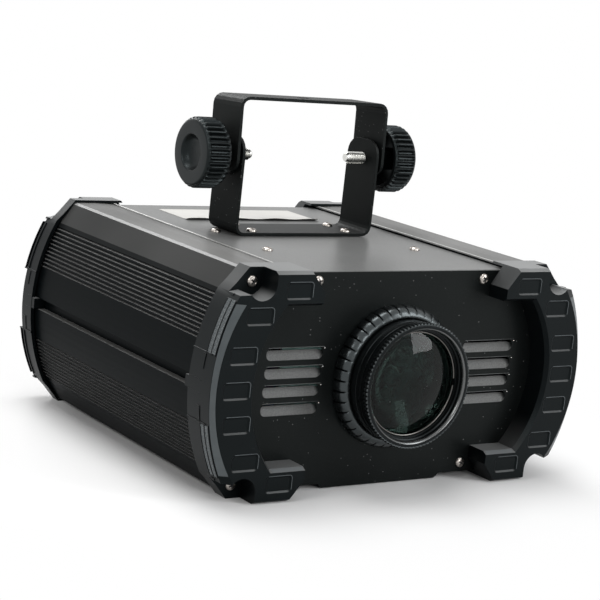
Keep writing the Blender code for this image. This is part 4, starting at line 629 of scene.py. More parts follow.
def circuit_board():
    """Green solder resist with tracks and tinned pads showing through."""
    coat = Finish("circuit_board", Specular_IOR_Level=0.6)
    track = coat.cells(260.0, "Distance", "DISTANCE_TO_EDGE")
    pads = coat.dust(420.0, 0.5, 0.22)
    cloud = coat.noise(50.0, 3.0)
    base = coat.mix(cloud, (0.010, 0.075, 0.030, 1.0), (0.018, 0.11, 0.045, 1.0))
    base = coat.mix(1.0 - track.eased(0.05, 0.08), base, (0.03, 0.17, 0.06, 1.0))
    base = coat.mix(pads, base, (0.62, 0.62, 0.60, 1.0))
    rough = 0.32 + 0.15 * cloud
    relief = coat.relief(track, 0.05, 0.4)
    return coat.feed(Base_Color=base, Roughness=rough, Metallic=pads * 0.9, Normal=relief)


def optic_glass():
    """Coated crown glass, faintly green, with a trace of dust."""
    coat = Finish("optic_glass", Transmission_Weight=1.0, IOR=1.25)
    haze = coat.noise(22.0, 4.0)
    dust = coat.dust(420.0, 0.03, 0.16)
    base = coat.mix(haze, (0.12, 0.22, 0.19, 1.0), (0.17, 0.28, 0.24, 1.0))
    base = coat.mix(dust, base, grey(0.6))
    return coat.feed(Base_Color=base, Roughness=0.01 + 0.02 * haze + 0.3 * dust)


def ripple_glass():
    """Clear glass with the waves that make the water pattern."""
    coat = Finish("ripple_glass", Transmission_Weight=0.92, IOR=1.5)
    sockets = {"Vector": coat.place(), "Scale": 95.0, "Detail": 1.0, "Distortion": 2.2}
    waves = coat.node("TexNoise", None, sockets)
    base = coat.mix(waves, (0.74, 0.84, 0.87, 1.0), (0.88, 0.94, 0.96, 1.0))
    return coat.bumpy(base, 0.05 + 0.06 * waves, waves, 1.2, 0.9)


def colour_glass(centre):
    """Dichroic glass in seven wedges about the wheel's hub."""
    coat = Finish("colour_glass", Transmission_Weight=0.85, IOR=1.5, Coat_Weight=0.5)
    here = coat.node("TexCoord", output="Object")
    here = coat.node("VectorMath", {"operation": "SUBTRACT"}, {0: here, 1: tuple(centre)})
    quarter = math.radians(90)
    flat = coat.node("VectorRotate", {"rotation_type": "X_AXIS"}, {"Vector": here, "Angle": quarter})
    turn = coat.node("TexGradient", {"gradient_type": "RADIAL"}, {"Vector": flat}, "Fac")
    hues = [(0.9, 0.9, 0.9), (0.9, 0.05, 0.04), (0.95, 0.35, 0.03), (0.9, 0.8, 0.05), (0.04, 0.6, 0.15),
            (0.03, 0.25, 0.85), (0.35, 0.05, 0.7)]
    stops = [(index / len(hues), hue) for index, hue in enumerate(hues)]
    wedge = coat.node("ValToRGB", {"stops": stops, "interpolation": "CONSTANT"}, {0: turn})
    cloud = coat.noise(60.0, 2.0)
    base = coat.mix(cloud * 0.25, wedge, grey(0.7))
    return coat.feed(Base_Color=base, Roughness=0.04 + 0.05 * cloud)


def display_pane():
    """Smoked window with a faint grid of unlit segments behind it."""
    coat = Finish("display_pane", Specular_IOR_Level=0.6, Coat_Weight=0.8, Coat_Roughness=0.05)
    cloud = coat.noise(90.0, 3.0)
    bars = coat.node("TexWave", {"bands_direction": "X"}, {"Vector": coat.place(), "Scale": 31.0})
    base = coat.mix(cloud, (0.018, 0.008, 0.009, 1.0), (0.03, 0.012, 0.012, 1.0))
    base = coat.mix(bars.eased(0.85, 0.95) * 0.5, base, (0.06, 0.02, 0.02, 1.0))
    return coat.feed(Base_Color=base, Roughness=0.10 + 0.08 * cloud)


POWDER = powder_coat("powder_coat", 1.0, 0.24)
BRACKET_COAT = powder_coat("bracket_coat", 0.1, 0.46)
GUARD = guard_plastic()
EDGE_HIGHLIGHT = edge_highlight_plastic()
STIPPLE = stippled_plastic()
ANODISED = anodised()
KNOB = knob_plastic()
BARREL = lens_black("lens_metal", 0.13, 0.22)
SATIN = lens_black("satin_black", 0.75, 0.22)
# Bright metal that paints the highlight along each louvre's lip
LIP_HIGHLIGHT = plated("painted_lip_highlight", 0.045, (0.95, 1.0, 1.0), (0.2, 1.0, 1.0), 0.35)
LIP_METAL = plated("polished_black", 0.11, (0.97, 1.0, 1.0), (1.0, 1.0, 1.0), 0.14)
RING_STEEL = plated("ring_steel", 0.10, (1.0, 0.97, 0.92), (1.0, 1.0, 1.0), 0.12)
# Bright bare metal that paints the highlight strips along the extrusions' inner edges
ROOF_HIGHLIGHT = plated("painted_roof_highlight", 0.50, (1.0, 1.0, 0.98), (1.0, 0.05, 1.0), 0.30)
ZINC = plated("zinc_thread", 0.60, (1.0, 1.0, 0.96), (0.2, 1.0, 1.0), 0.16)
NICKEL = plated("nickel_screw", 0.38, (1.0, 0.93, 0.86), (1.0, 1.0, 1.0), 0.18)
SHEET_STEEL = plated("zinc_sheet", 0.42, (0.97, 1.0, 1.03), (1.0, 0.05, 1.0), 0.30)
ALUMINIUM = plated("machined_aluminium", 0.55, (1.0, 1.0, 1.0), (1.0, 1.0, 0.05), 0.28)
LABEL = label_paper()
GLASS = optic_glass()
RIPPLE = ripple_glass()
COLOURS = colour_glass((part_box("colour_wheel")[0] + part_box("colour_wheel")[1]) / 2)
BOARD = circuit_board()
INSERT = moulded("moulded_black", (0.014, 0.014, 0.015), (0.026, 0.026, 0.027))
BUTTONS = moulded("button_grey", (0.12, 0.12, 0.125), (0.17, 0.17, 0.175))
PANE = display_pane()


# Nodes kept from the CAD: joined up, their edges rounded, then finished

KEPT = {
    "top_plate": (POWDER, 0.35), "bottom_plate": (POWDER, 0.35), "rear_panel": (POWDER, 0.3),
    "lower_bracket": (BRACKET_COAT, 0.45), "upper_bracket": (BRACKET_COAT, 0.45),
    "left_side_extrusion": (ANODISED, 0.12), "right_side_extrusion": (ANODISED, 0.12),
    "lens_mount": (BARREL, 0.2), "optical_bench": (SHEET_STEEL, 0.3), "led_engine": (ALUMINIUM, 0.3),
    "heatsink": (ALUMINIUM, 0.2), "ripple_wheel_motor": (SHEET_STEEL, 0.3),
    "colour_wheel_motor": (SHEET_STEEL, 0.3), "fan_frame": (INSERT, 0.3), "fan_rotor": (INSERT, 0.25),
    "mains_inlet": (INSERT, 0.25), "fuse_drawer": (INSERT, 0.25), "dmx_in_socket": (INSERT, 0.2),
    "dmx_out_socket": (INSERT, 0.2), "power_supply_board": (BOARD, 0.15), "control_board": (BOARD, 0.15),
    "display_window": (PANE, 0.2), "menu_button": (BUTTONS, 0.2), "down_button": (BUTTONS, 0.2),
    "up_button": (BUTTONS, 0.2), "enter_button": (BUTTONS, 0.2), "condenser_lens": (GLASS, 0.1),
    "ripple_wheel": (RIPPLE, 0.1), "colour_wheel": (COLOURS, 0.1),
}

for node_name, (finish, edge) in KEPT.items():
    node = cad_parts[node_name]
    node.data.materials.clear()
    node.data.materials.append(finish)
    weld = node.modifiers.new("joined", "WELD")
    weld.merge_threshold = 0.000002
    merge = node.modifiers.new("merged_faces", "DECIMATE")
    merge.decimate_type, merge.angle_limit = "DISSOLVE", math.radians(0.3)
    round_edges(node, edge * MM)


# Corner guards

def face_x(z):
    """Where the guard's face ends at a height: its circle is smaller than the side's."""
    return SIDE_X + FACE_SHIFT + math.sqrt((GUARD_R - FACE_SHIFT - FACE_BRINK) ** 2 - z * z)


def guard_ring(y, at_face=False):
    """The guard's outline, drawn in at the face by the bevels along its edges."""
    drop, bevel = (TOP_BEVEL, MOUTH_BEVEL) if at_face else (0.0, 0.0)
    outer = [(ARM_TIP, HALF - drop), (CORNER_X - drop / 2, HALF - drop)]
    outer.append((CHAMFER_X - drop, CHAMFER_Z - drop / 2))
    for step in range(SIDE_STEPS + 1):
        z = SHOULDER_Z * (1 - step / SIDE_STEPS)
        outer.append((face_x(z) if at_face else side_x(z, GUARD_R), z))
    arm_low, radius = ARM_LOW + bevel, MOUTH_R + bevel
    start = math.degrees(math.asin(arm_low / radius))
    inner = [(ARM_INNER, ARM_BEND), (ARM_INNER, arm_low)] + arc((MOUTH_X, 0.0), radius, start, 0, 16)
    lower = [(a, -b) for a, b in inner]
    outline = outer + flipped(outer)[1:] + lower + list(reversed(inner))[1:]
    return [(a, y, b) for a, b in outline]


def scallop():
    """The hollow round the screw in the guard's corner."""
    above = HALF + SCALLOP_R
    points = arc(SCALLOP_AT, SCALLOP_R, 180, 322, 20)
    points += [(WIDE - 13.0, SHOULDER_Z - 0.8), (WIDE, SHOULDER_Z - 1.5), (WIDE, above)]
    return points + [(SCALLOP_AT[0] - SCALLOP_R, above)]


def pockets():
    """Middle of each face pocket: five down the middle of the guard's C, and one on each arm."""
    for z in POCKET_HEIGHTS:
        mouth = MOUTH_X + math.sqrt((MOUTH_R + MOUTH_BEVEL) ** 2 - z * z)
        yield (mouth + side_x(z, GUARD_R - POCKET_IN)) / 2, z
    for sign in (1, -1):
        yield ARM_TIP + POCKET_HALF[0], sign * ARM_POCKET_Z


def pocket(mesh, place, face):
    """A shallow pocket with sloping walls, cut from in front of the face to its floor."""
    rings = []
    for y, grow in ((-1.0, 1.1), (1.1, -1.2)):
        outline = rounded(place, POCKET_HALF[0] + grow, POCKET_HALF[1] + grow, POCKET_BEND + grow)
        rings.append([(a, face + y, b) for a, b in outline])
    loft(mesh, rings)


def guard(reach, flange):
    """Right hand guard as at the front, its face at -reach and its flange's edge at flange."""
    def body(mesh):
        loft(mesh, [guard_ring(-reach, True), guard_ring(BRINK_DEEP - reach), guard_ring(flange)])

    def extrusion_room(mesh):
        upper = [(ARM_INNER - ROOM_PAST, ROOF_Z), (CORNER_X, ROOF_Z)]
        upper += side_curve(EXTRUSION_R + ROOM_GAP, FACET_Z, 0.0, SIDE_STEPS)
        prism(mesh, upper + flipped(upper)[1:], "y", 0.0, flange + 6.0)

    def panel_room(mesh):
        upper = [(ARM_INNER - ROOM_PAST, ROOF_Z), (PANEL_X + PANEL_GAP, ROOF_Z)]
        upper += [(PANEL_X + PANEL_GAP, PANEL_SHOULDER_Z), (PANEL_SIDE[0] + PANEL_GAP, PANEL_SIDE[1])]
        prism(mesh, upper + flipped(upper), "y", -PANEL_GAP, flange + 4.0)

    def face_cuts(mesh):
        for outline in (scallop(), flipped(scallop())):
            prism(mesh, outline, "y", -reach - 5.0, FLOOR_Y)
        for place in pockets():
            pocket(mesh, place, -reach)

    def relief(mesh):
        """Ridges and bars on the side, a faint seam at mid-height, and the tab at the back."""
        for sign in (1, -1):
            for front, back, proud in RIDGES:
                if front > -reach:
                    side_slab(mesh, sign, BAND_HEIGHTS, (front, back), proud)
            side_slab(mesh, sign, *END_BAR, 2)
            side_slab(mesh, sign, (BAND_HEIGHTS[0], BAND_HEIGHTS[0] + 1.0), (-12.0, flange), 0.6, 2)
            side_slab(mesh, sign, *LOW_BAR, 4)
        for sign in (-1, 1):
            side_slab(mesh, sign, SEAM_HEIGHTS, ((flange - reach) / 2, flange - 0.1), 0.08, 2)
        outer_x = side_x(TAB_HALF, GUARD_R) - 0.2
        tab = [(outer_x, -TAB_HALF), (outer_x, TAB_HALF), (TAB_ROOT_X, TAB_HALF), (TAB_ROOT_X, -TAB_HALF)]
        prism(mesh, tab, "y", flange - 8.0, flange + 4.5)

    return shape(body, (extrusion_room, panel_room, face_cuts), 0.45, 32, relief)


def stippled_bands(mesh):
    """The stippled strips between the ridges on the guard's side."""
    for sign, proud in ((1, 0.4), (-1, 0.25)):
        side_slab(mesh, sign, STIPPLE_HEIGHTS, STIPPLE_DEPTHS, proud, 10)


def skin(mesh, line):
    """A thin skin behind a line of pairs of points, the outer and the inner edge of its front."""
    rings = []
    for outer, inner in line:
        behind = [(x, y + SKIN_THICK, z) for x, y, z in (inner, outer)]
        rings.append([outer, inner, *behind])
    loft(mesh, rings)


def brink_highlights(mesh):
    """Skins that carry the painted edge highlight on the front guard's brink along the side, and on that of
    its lower arm.
    """
    face, root = 0.1 - FRONT_REACH, BRINK_DEEP - FRONT_REACH
    side, ledge = [], []
    for step in range(25):
        z = 60.0 - 5.0 * step
        side.append(((side_x(z, GUARD_R) - 0.2, root - 0.3, z), (face_x(z) + 0.5, face, z)))
    skin(mesh, side)
    for x in (ARM_INNER + 1.0, ARM_INNER + 27.0):
        ledge.append(((x, root - 0.25, -ARM_LOW - 0.05), (x, face, -ARM_LOW - MOUTH_BEVEL + 0.2)))
    skin(mesh, ledge)


def pocket_rim(mesh, place, side):
    """A thin rim along a pocket's top and down one side, the outer (1) or the lens side (-1)."""
    half_x, half_z = POCKET_HALF[0] + RIM_OUT, POCKET_HALF[1] + RIM_OUT
    bend_x, bend_z = half_x - RIM_BEND, half_z - RIM_BEND
    path = [(-bend_x, half_z)] + arc((bend_x, bend_z), RIM_BEND, 90, 0, 5) + [(half_x, 2.0 - half_z)]
    root, crest = 0.2 - FRONT_REACH, -0.07 - FRONT_REACH
    rings = []
    for (a, b), (after_a, after_b) in zip(path, path[1:] + [(half_x, -half_z)]):
        thin = RIM_HALF_WIDE / math.hypot(after_a - a, after_b - b)
        aside, rise = (after_b - b) * thin, (a - after_a) * thin
        ring = []
        for sign, y in ((-1, root), (-1, crest), (1, crest), (1, root)):
            ring.append((place[0] + side * (a + sign * aside), y, place[1] + b + sign * rise))
        rings.append(ring)
    loft(mesh, rings)


def painted_edge_highlights(side):
    """The front guard's brinks and pocket rims, which carry the painted edge highlight."""
    def draw(mesh):
        brink_highlights(mesh)
        for place in pockets():
            pocket_rim(mesh, place, side)
    return shape(draw)


def roof_edge_highlights(mesh):
    """Painted highlights: bright bare-metal strips along the inner edges of the two extrusions, beside the
    plate.
    """
    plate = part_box("top_plate")[1].x / MM
    top = (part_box("left_side_extrusion")[1].z - CASE.z) / MM
    low, high = top - 0.3, top + 0.12
    for sign in (-1, 1):
        left, right = sorted((sign * (plate + 0.7), sign * (plate + 2.3)))
        outline = [(left, low), (right, low), (right, high), (left, high)]
        prism(mesh, outline, "y", FRONT_FLANGE + 1.0, LENGTH - REAR_FLANGE - 1.0)


front_guard = guard(FRONT_REACH, FRONT_FLANGE)
rear_guard = mirror(guard(REAR_REACH, REAR_FLANGE), "y", LENGTH / 2)
for end, moulding in (("front", front_guard), ("rear", rear_guard)):
    for side, data in both_sides(moulding):
        dress(f"{side}_{end}_guard_moulding", data, GUARD, "case", [f"{end}_{side}_guard"])
# Painted highlight along the front guards' brinks and pocket rims
dress("right_edge_highlights", painted_edge_highlights(1), EDGE_HIGHLIGHT, "case")
dress("left_edge_highlights", mirror(painted_edge_highlights(-1), "x"), EDGE_HIGHLIGHT, "case")
for side, data in both_sides(shape(stippled_bands, bevel=0.15)):
    dress(f"{side}_stippled_bands", data, STIPPLE, "case")
# Painted highlight strips along the extrusions' inner edges
dress("roof_highlight_strips", shape(roof_edge_highlights, bevel=0.1), ROOF_HIGHLIGHT, "case")


# Front panel with its pressed louvres

def panel_sheet(mesh):
    """The flat sheet: cut corners above, shoulders that reach out behind the guards, a skirt below."""
    corner_x = PANEL_X - PANEL_CORNER
    side = [(corner_x, PLATE_Z), (PANEL_X, PLATE_Z - PANEL_CORNER), (PANEL_X, PANEL_SHOULDER_Z)]
    side += [PANEL_SIDE, (PANEL_SIDE[0], -PANEL_SIDE[1]), (PANEL_X, -PANEL_SHOULDER_Z)]
    side += [(PANEL_X, PANEL_LOW + PANEL_CORNER), (corner_x, PANEL_LOW), (55.5, PANEL_LOW), (52.0, -81.9)]
    prism(mesh, side + [(-a, b) for a, b in reversed(side)], "y", 0.0, SHEET)


def louvres():
    """Middle of each louvre, first the left group and then the right one."""
    for sign in (-1, 1):
        for z in LOUVRE_ROWS:
            yield sign * LOUVRE_MIDDLE, z


def panel_holes(mesh):
    prism(mesh, circle((0.0, 0.0), LENS_HOLE_R, 96), "y", -1.0, 2 * SHEET)
    for place in louvres():
        outline = rounded(place, LOUVRE_HALF_LONG, LOUVRE_HALF_HIGH, LOUVRE_END)
        prism(mesh, outline, "y", -1.0, 2 * SHEET)


def louvre_pan(mesh, middle, z):
    """One pressed ramp: flush below, deepest at the slit along the top, with rounded ends."""
    up, across, half = 12, 48, LOUVRE_HALF_LONG + 0.6

    def point(step, index, back):
        rise, along = step / up, index / across
        from_end = min(1.0, min(along, 1 - along) * 2 * half / LOUVRE_END)
        deep = LOUVRE_DEEP * math.sin(from_end * math.pi / 2) * rise
        height = z - LOUVRE_HALF_HIGH + rise * (2 * LOUVRE_HALF_HIGH - LOUVRE_SLIT)
        return (middle + (2 * along - 1) * half, 0.25 + deep + back, height)

    sheet(mesh, up, across, LOUVRE_THICK, point)


def louvre_pans(mesh):
    for middle, z in louvres():
        louvre_pan(mesh, middle, z)


def louvre_glints(mesh):
    """A painted glint: a small bump of bright bare-metal finish at the right hand end of each slit."""
    for middle, z in louvres():
        at = (middle + LOUVRE_HALF_LONG + 1.5, z + LOUVRE_HALF_HIGH - 0.8)
        lathe(mesh, [(0.05, -0.28), (0.3, -0.22), (0.5, 0.0), (0.5, 0.3), (0.05, 0.3)], 12, "y", at)


def louvre_lips(mesh):
    """The punched edge that stands a little proud along the top of each slit, finished in bright metal as a
    painted highlight.
    """
    for middle, z in louvres():
        left, right = middle - LOUVRE_HALF_LONG + 1.0, middle + LOUVRE_HALF_LONG + 1.0
        low = z + LOUVRE_HALF_HIGH + 0.05
        outline = [(0.2, low), (-0.12, low + 0.05), (-0.3, low + 0.3), (-0.1, low + 0.62), (0.2, low + 0.7)]
        prism(mesh, outline, "x", left, right)


panel = shape(panel_sheet, (panel_holes,), 0.35, 32, louvre_pans)
dress("louvred_front", panel, POWDER, "case", ["front_panel"])
# Painted highlight along the top of each slit
dress("louvre_lips", shape(louvre_lips), LIP_HIGHLIGHT, "case")
# Painted glints at the right hand ends of the slits
dress("louvre_corner_glints", shape(louvre_glints), ZINC, "case")


# Lens: ribbed collar, sliding barrel, snap ring and glass

def collar(mesh):
    """The focus collar: ribs with rounded crests, fading out towards its front."""
    rib = (1.0, 0.14, 0.05, 0.02, 0.0, 0.0, 0.0, 0.0, 0.0, 0.02, 0.05, 0.14)
    profile = [(53.4, -0.3, 2.2), (53.4, -4.2, 2.2), (53.0, -6.6, 2.2), (52.0, -8.6, 2.1)]
    profile += [(50.6, -10.2, 1.6), (49.2, -11.2, 0.8), (48.0, -11.7, 0.2), (46.6, -12.0), (45.9, -11.7)]
    turned(mesh, profile + [(45.9, -9.5), (47.9, -9.5), (47.9, -0.3)], len(rib) * COLLAR_RIBS, ribs=rib)


def barrel(mesh):
    """Rim, grip and stepped tube outside; inside, the stepped throat and the lens seat."""
    profile = [(42.6, -32.2), (43.2, -32.4), (44.9, -32.4), (45.3, -32.1), (45.3, -28.9), (44.6, -28.8)]
    profile += [(44.6, -27.4), (45.2, -27.2), (45.2, -26.2), (44.4, -26.0), (44.4, -23.7), (45.3, -23.5)]
    profile += [(45.5, -23.2), (45.5, -21.2)]
    profile += [(44.6, -20.9), (44.6, -17.4), (45.0, -17.2), (45.0, 14.0), (42.0, 14.0), (42.0, -15.0)]
    profile += [(36.6, -17.5), (36.6, -19.0), (39.2, -19.0), (39.2, -24.9), (40.4, -25.1), (40.4, -27.6)]
    turned(mesh, profile + [(41.2, -28.0), (41.6, -31.4)], 160)


def knurl(mesh):
    """The toothed grip round the rim."""
    teeth = (0.0, 0.0, 0.0, 1.0, 1.0)
    profile = [(45.1, -32.3), (45.9, -32.4, 0.6), (46.3, -32.1, 1.0), (46.4, -31.6, 1.1)]
    profile += [(46.4, -29.3, 1.1), (46.1, -28.8, 0.8), (45.1, -28.8)]
    turned(mesh, profile, len(teeth) * RIM_TEETH, ribs=teeth)


def lip(mesh):
    """The polished inner edge of the rim."""
    profile = [(41.3, -30.4), (41.6, -31.4), (42.1, -32.1), (42.8, -32.45), (42.9, -31.9), (41.9, -30.2)]
    turned(mesh, profile, 160)


def snap_ring(mesh):
    """The split wire ring that holds the glass."""
    steps = 120
    rings = []
    for index in range(steps + 1):
        angle = math.radians(SNAP_GAP / 2 + (360 - SNAP_GAP) * index / steps)
        ring = []
        for radius, y in circle(SNAP_AT, SNAP_WIRE_R, 10):
            ring.append((radius * math.cos(angle), y, radius * math.sin(angle)))
        rings.append(ring)
    loft(mesh, rings)


def front_glass(mesh):
    """A glass domed at both sides, seated by its rim."""
    steps = 14
    front, rear = [(0.05, GLASS_FRONT - GLASS_CROWN)], [(0.05, GLASS_BACK + GLASS_CROWN)]
    for index in range(1, steps + 1):
        share = index / steps
        rise = GLASS_CROWN * (1 - share * share)
        front.append((GLASS_R * share, GLASS_FRONT - rise))
        rear.append((GLASS_REAR_R * share, GLASS_BACK + rise))
    lathe(mesh, [*front, (GLASS_R, GLASS_BACK - 0.1), *reversed(rear)], 128)


dress("focus_collar_ribbed", shape(collar, smooth=40), SATIN, "focus_collar", ["focus_ring"])
dress("lens_tube_stepped", shape(barrel, smooth=40), BARREL, "lens_tube", ["lens_barrel"])
dress("lens_tube_knurl", shape(knurl, smooth=30), SATIN, "lens_tube")
dress("lens_polished_lip", shape(lip, smooth=60), LIP_METAL, "lens_tube")
dress("lens_snap_ring", shape(snap_ring, smooth=50), RING_STEEL, "lens_tube")
dress("domed_lens", shape(front_glass, smooth=40), GLASS, "lens_tube", ["front_lens"])


# Handwheels, studs and toothed washers, drawn on the right hand side

def knob(mesh):
    """A wheel with a ribbed rim, a sleeve for the stud and a dish in its outer face."""
    rib = (1.0, 1.0, 0.95, 0.6, 0.1, 0.0, 0.1, 0.6)
    profile = [(9.0, 67.0), (9.0, 90.7), (21.2, 91.0), (21.6, 90.0), (21.6, 77.6), (22.0, 77.0)]
    profile += [(24.4, 77.0), (24.9, 77.3), (25.6, 78.6, 0.4), (26.6, 80.2, 2.4), (27.0, 81.5, 3.0)]
    profile += [(27.0, 93.6, 3.0), (26.8, 94.8, 2.4), (26.2, 95.8, 0.8), (25.2, 96.8), (24.2, 97.6)]
    profile += [(23.2, 98.0), (14.6, 98.0), (13.9, 97.7), (13.2, 96.6), (11.6, 94.2), (9.8, 92.9)]
    profile += [(7.6, 92.4), (2.0, 92.4), (2.0, 91.0), (6.0, 91.0), (6.0, 67.0)]
    turned(mesh, profile, len(rib) * KNOB_RIBS, "x", PIVOT, rib)


def knob_middle(mesh):
    """The dish's floor, which closes the middle of the wheel."""
    lathe(mesh, [(0.05, 91.1), (2.6, 91.1), (2.6, 92.4), (0.05, 92.5)], 24, "x", PIVOT)


def stud(mesh):
    """The stud's thread: one helical ridge that starts low at the tip."""
    steps = THREAD_STEPS
    turns = int((STUD_END - STUD_TIP - 1.0) / THREAD_PITCH)
    low, crest = [], []
    for index in range(steps * turns + 1):
        angle = 2 * math.pi * index / steps
        place = STUD_TIP + STUD_CHAMFER + THREAD_PITCH * index / steps
        crest_r = THREAD_ROOT + (STUD_R - THREAD_ROOT) * min(1.0, 0.3 + index / steps)
        for row, radius, shift in ((low, THREAD_ROOT, 0.0), (crest, crest_r, THREAD_PITCH / 2)):
            a, b = PIVOT[0] + radius * math.cos(angle), PIVOT[1] + radius * math.sin(angle)
            row.append(mesh.verts.new((place + shift, a, b)))
    for index in range(steps * turns):
        mesh.faces.new((low[index], low[index + 1], crest[index + 1], crest[index]))
        if index + 1 + steps < len(low):
            mesh.faces.new((crest[index], crest[index + 1], low[index + 1 + steps], low[index + steps]))


def stud_core(mesh):
    """The rod inside the thread, with a chamfered tip."""
    core = THREAD_ROOT + 0.05
    profile = [(0.2, STUD_TIP), (3.1, STUD_TIP), (core, STUD_TIP + STUD_CHAMFER), (core, STUD_END)]
    lathe(mesh, profile + [(0.2, STUD_END)], THREAD_STEPS, "x", PIVOT)


def washer(mesh):
    """A friction washer with teeth round its edge."""
    tooth = (0.0, 0.0, 1.0, 1.0)
    profile = [(5.2, 64.3), (15.2, 64.3, 0.4), (15.7, 64.6, 1.1), (15.7, 65.9, 1.1), (15.2, 66.2, 0.4)]
    turned(mesh, profile + [(5.2, 66.2)], len(tooth) * WASHER_TEETH, "x", PIVOT, tooth)


for side, data in both_sides(shape(knob, smooth=38, extra=knob_middle)):
    dress(f"{side}_ribbed_knob", data, KNOB, f"{side}_handwheel", [f"{side}_knob"])
for side, data in both_sides(shape(stud, smooth=25, extra=stud_core)):
    dress(f"{side}_threaded_stud", data, ZINC, f"{side}_handwheel", [f"{side}_knob_stud"])
for side, data in both_sides(shape(washer, smooth=25)):
    dress(f"{side}_friction_washer", data, KNOB, "case", [f"{side}_toothed_washer"])


# Cross-headed screws, drawn with the head towards -Y

def head(mesh):
    """A domed pan head with a short length of shank behind it."""
    profile = [(0.05, -2.5), (1.2, -2.45), (2.4, -2.2), (3.3, -1.7), (3.8, -1.1), (4.0, -0.5), (4.0, 0.0)]
    lathe(mesh, profile + [(2.0, 0.05), (2.0, 4.0), (0.05, 4.0)], 40)


def recess(mesh):
    """A tapered cross, cut into the head: wide in front of it and narrow at the bottom."""
    half_wide, half_thin = 2.5, 0.62
    rings = []
    for y, share in ((-3.2, 1.2), (-0.7, 0.6)):
        w, t = half_wide * share, half_thin * (0.6 + 0.4 * share)
        cross = [(w, -t), (w, t), (t, t), (t, w), (-t, w), (-t, t)]
        cross += [(-w, t), (-w, -t), (-t, -t), (-t, -w), (t, -w), (t, -t)]
        rings.append([(a, y, b) for a, b in cross])
    loft(mesh, rings)


def painted_recess_shade(mesh):
    """Painted shade: a dark plug at the bottom of the cross, standing in for the recess's shadow."""
    for half_a, half_b in ((2.3, 0.5), (0.5, 2.3)):
        prism(mesh, rounded((0.0, 0.0), half_a, half_b, 0.2, 1), "y", -1.75, -1.2)


SCREW = shape(head, (recess,), smooth=35)
# Dark plug that paints the shade at the bottom of each screw's cross
RECESS_SHADE = shape(painted_recess_shade)
FORWARD = Matrix.Identity(4)
BACKWARD = Matrix.Rotation(math.radians(180), 4, "Z")
DOWNWARD = Matrix.Rotation(math.radians(-90), 4, "X")


def screw(name, at, facing, spin, stands_for=()):
    """A screw and the painted shade in its cross, turned by an angle in degrees."""
    turn = Matrix.Translation(at) @ facing @ Matrix.Rotation(math.radians(spin), 4, "Y")
    dress(name, SCREW, NICKEL, "case", stands_for, turn)
    dress(name + "_grime", RECESS_SHADE, INSERT, "case", turn=turn)


spin = 0
for side, sign in (("left", -1), ("right", 1)):
    for level, rise in (("upper", 1), ("lower", -1)):
        spin += 37
        corner = f"{level}_{side}"
        places = (("guard", BOSS_X, FLOOR_Y, BOSS_Z, spin), ("panel", *PANEL_SCREW, spin * 2))
        for kind, x, y, z, angle in places:
            front, rear = (sign * x, y, rise * z), (sign * x, LENGTH - y, rise * z)
            screw(f"{corner}_{kind}_cross", front, FORWARD, angle, [f"{corner}_{kind}_screw"])
            screw(f"{corner}_rear_{kind}_cross", rear, BACKWARD, angle)
    for end, base_y, plate_y in SCREW_PLACES_Y:
        spin += 23
        base_at = (sign * BASE_SCREW_X, base_y, PLATE_Z + LOWER_STRAP)
        screw(f"{end}_{side}_bracket_cross", base_at, DOWNWARD, spin, [f"{end}_{side}_bracket_screw"])
        plate_at = (sign * PLATE_SCREW_X, plate_y, PLATE_Z)
        screw(f"{end}_{side}_plate_cross", plate_at, DOWNWARD, spin * 2, [f"{end}_{side}_plate_screw"])


# Blank label on the plate, its front edge lifting

def label(mesh):
    """A thin sheet that lies on the plate, lifted in waves at its front edge."""
    deep, across = 14, 24

    def point(step, index, thick):
        wave = 0.5 + 0.5 * math.sin(index * 0.9)
        lift = (1.2 + 0.8 * wave) * max(0.0, 1 - step / 2.2) ** 2
        x, y = LABEL_LEFT + LABEL_WIDE * index / across, LABEL_FRONT + LABEL_LONG * step / deep
        return (x, y, PLATE_Z + 0.05 + lift + thick)

    sheet(mesh, deep, across, LABEL_THICK, point)


dress("blank_label", shape(label), LABEL, "case")


# Floor, world, lamps and camera

def floor_finish():
    """Pale floor that runs out into the white background away from the object."""
    coat = Finish("pale_floor", Specular_IOR_Level=0.1, Roughness=0.8)
    coat.feed(Base_Color=coat.mix(coat.noise(1.2, 2.0), grey(0.86), grey(0.90)))
    reach = coat.node("VectorMath", {"operation": "LENGTH"}, {0: coat.node("NewGeometry")}, "Value")
    white = coat.node("Emission", None, {"Color": grey(1.0)})
    lit = Wire(coat, coat.shader.outputs["BSDF"])
    mixed = coat.node("MixShader", None, {0: reach.eased(0.16, 0.34) * coat.seen(), 1: lit, 2: white})
    coat.tree.links.new(mixed.socket, coat.tree.nodes["Material Output"].inputs["Surface"])
    return coat.material


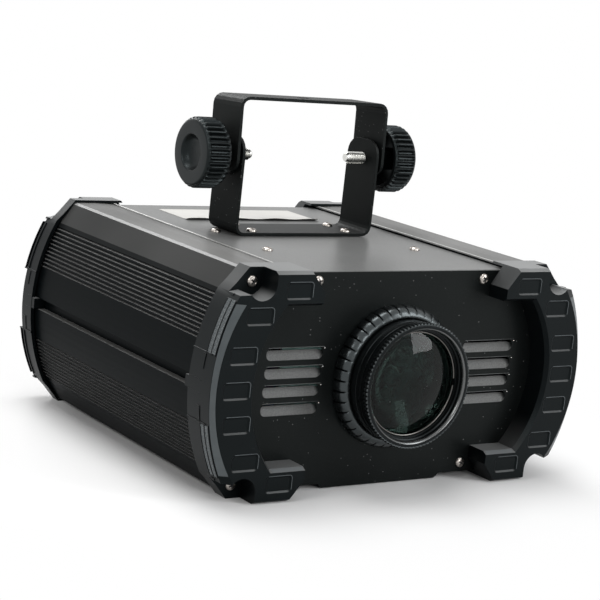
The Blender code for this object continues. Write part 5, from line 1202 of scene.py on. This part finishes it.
def floor_disc(mesh):
    prism(mesh, circle((0.0, 0.0), FLOOR_RADIUS, 96), "z", -FLOOR_THICK, 0.0)


floor = add_object("floor", mesh_of(floor_disc))
floor.data.materials.append(floor_finish())

studio = bpy.data.worlds.new("studio")
bpy.context.scene.world = studio
studio.use_nodes = True
sky = Recipe(studio.node_tree)
background = studio.node_tree.nodes["Background"]
background.inputs["Color"].default_value = grey(1.0)
studio.node_tree.links.new((0.22 + 0.78 * sky.seen()).socket, background.inputs["Strength"])


def softbox(name, at, towards, size, radiance, tint=(1.0, 1.0, 1.0)):
    """A lamp of even brightness, its size given as width and height, aimed at a point."""
    light = bpy.data.lights.new(name, "AREA")
    light.shape, light.color = "RECTANGLE", tint
    light.size, light.size_y = size
    light.energy = radiance * math.pi * size[0] * size[1]
    thing = add_object(name, light)
    thing.location = at
    thing.rotation_euler = (Vector(towards) - Vector(at)).to_track_quat("-Z", "Y").to_euler()


softbox("overhead", (-0.2, 0.35, 1.9), (0, 0, 0.1), (1.1, 1.1), 6.5)
softbox("front_right", (1.3, -1.5, 1.0), (0, 0, 0.15), (0.65, 1.6), 6.5, (0.98, 0.99, 1.0))
softbox("left", (-1.9, -0.5, 1.3), (0, 0, 0.1), (0.7, 0.7), 6.5, (1.0, 0.99, 0.98))
softbox("behind", (0.3, 2.3, 1.7), (0, 0, 0.1), (0.9, 0.9), 10.0)
softbox("front", (-0.1, -2.5, 0.95), (0, 0, 0.1), (0.9, 0.7), 6.0)

camera = add_object("camera", bpy.data.cameras.new("camera"))
camera.data.lens, camera.data.sensor_width = CAMERA_LENS, CAMERA_SENSOR
camera.location = CAMERA_AT
yaw = Matrix.Rotation(math.radians(-CAMERA_YAW), 4, "Z")
pitch = Matrix.Rotation(math.radians(90 - CAMERA_PITCH), 4, "X")
roll = Matrix.Rotation(math.radians(CAMERA_ROLL), 4, "Z")
camera.rotation_euler = (yaw @ pitch @ roll).to_euler()
bpy.context.scene.camera = camera
bpy.context.scene.view_settings.view_transform = "Standard"
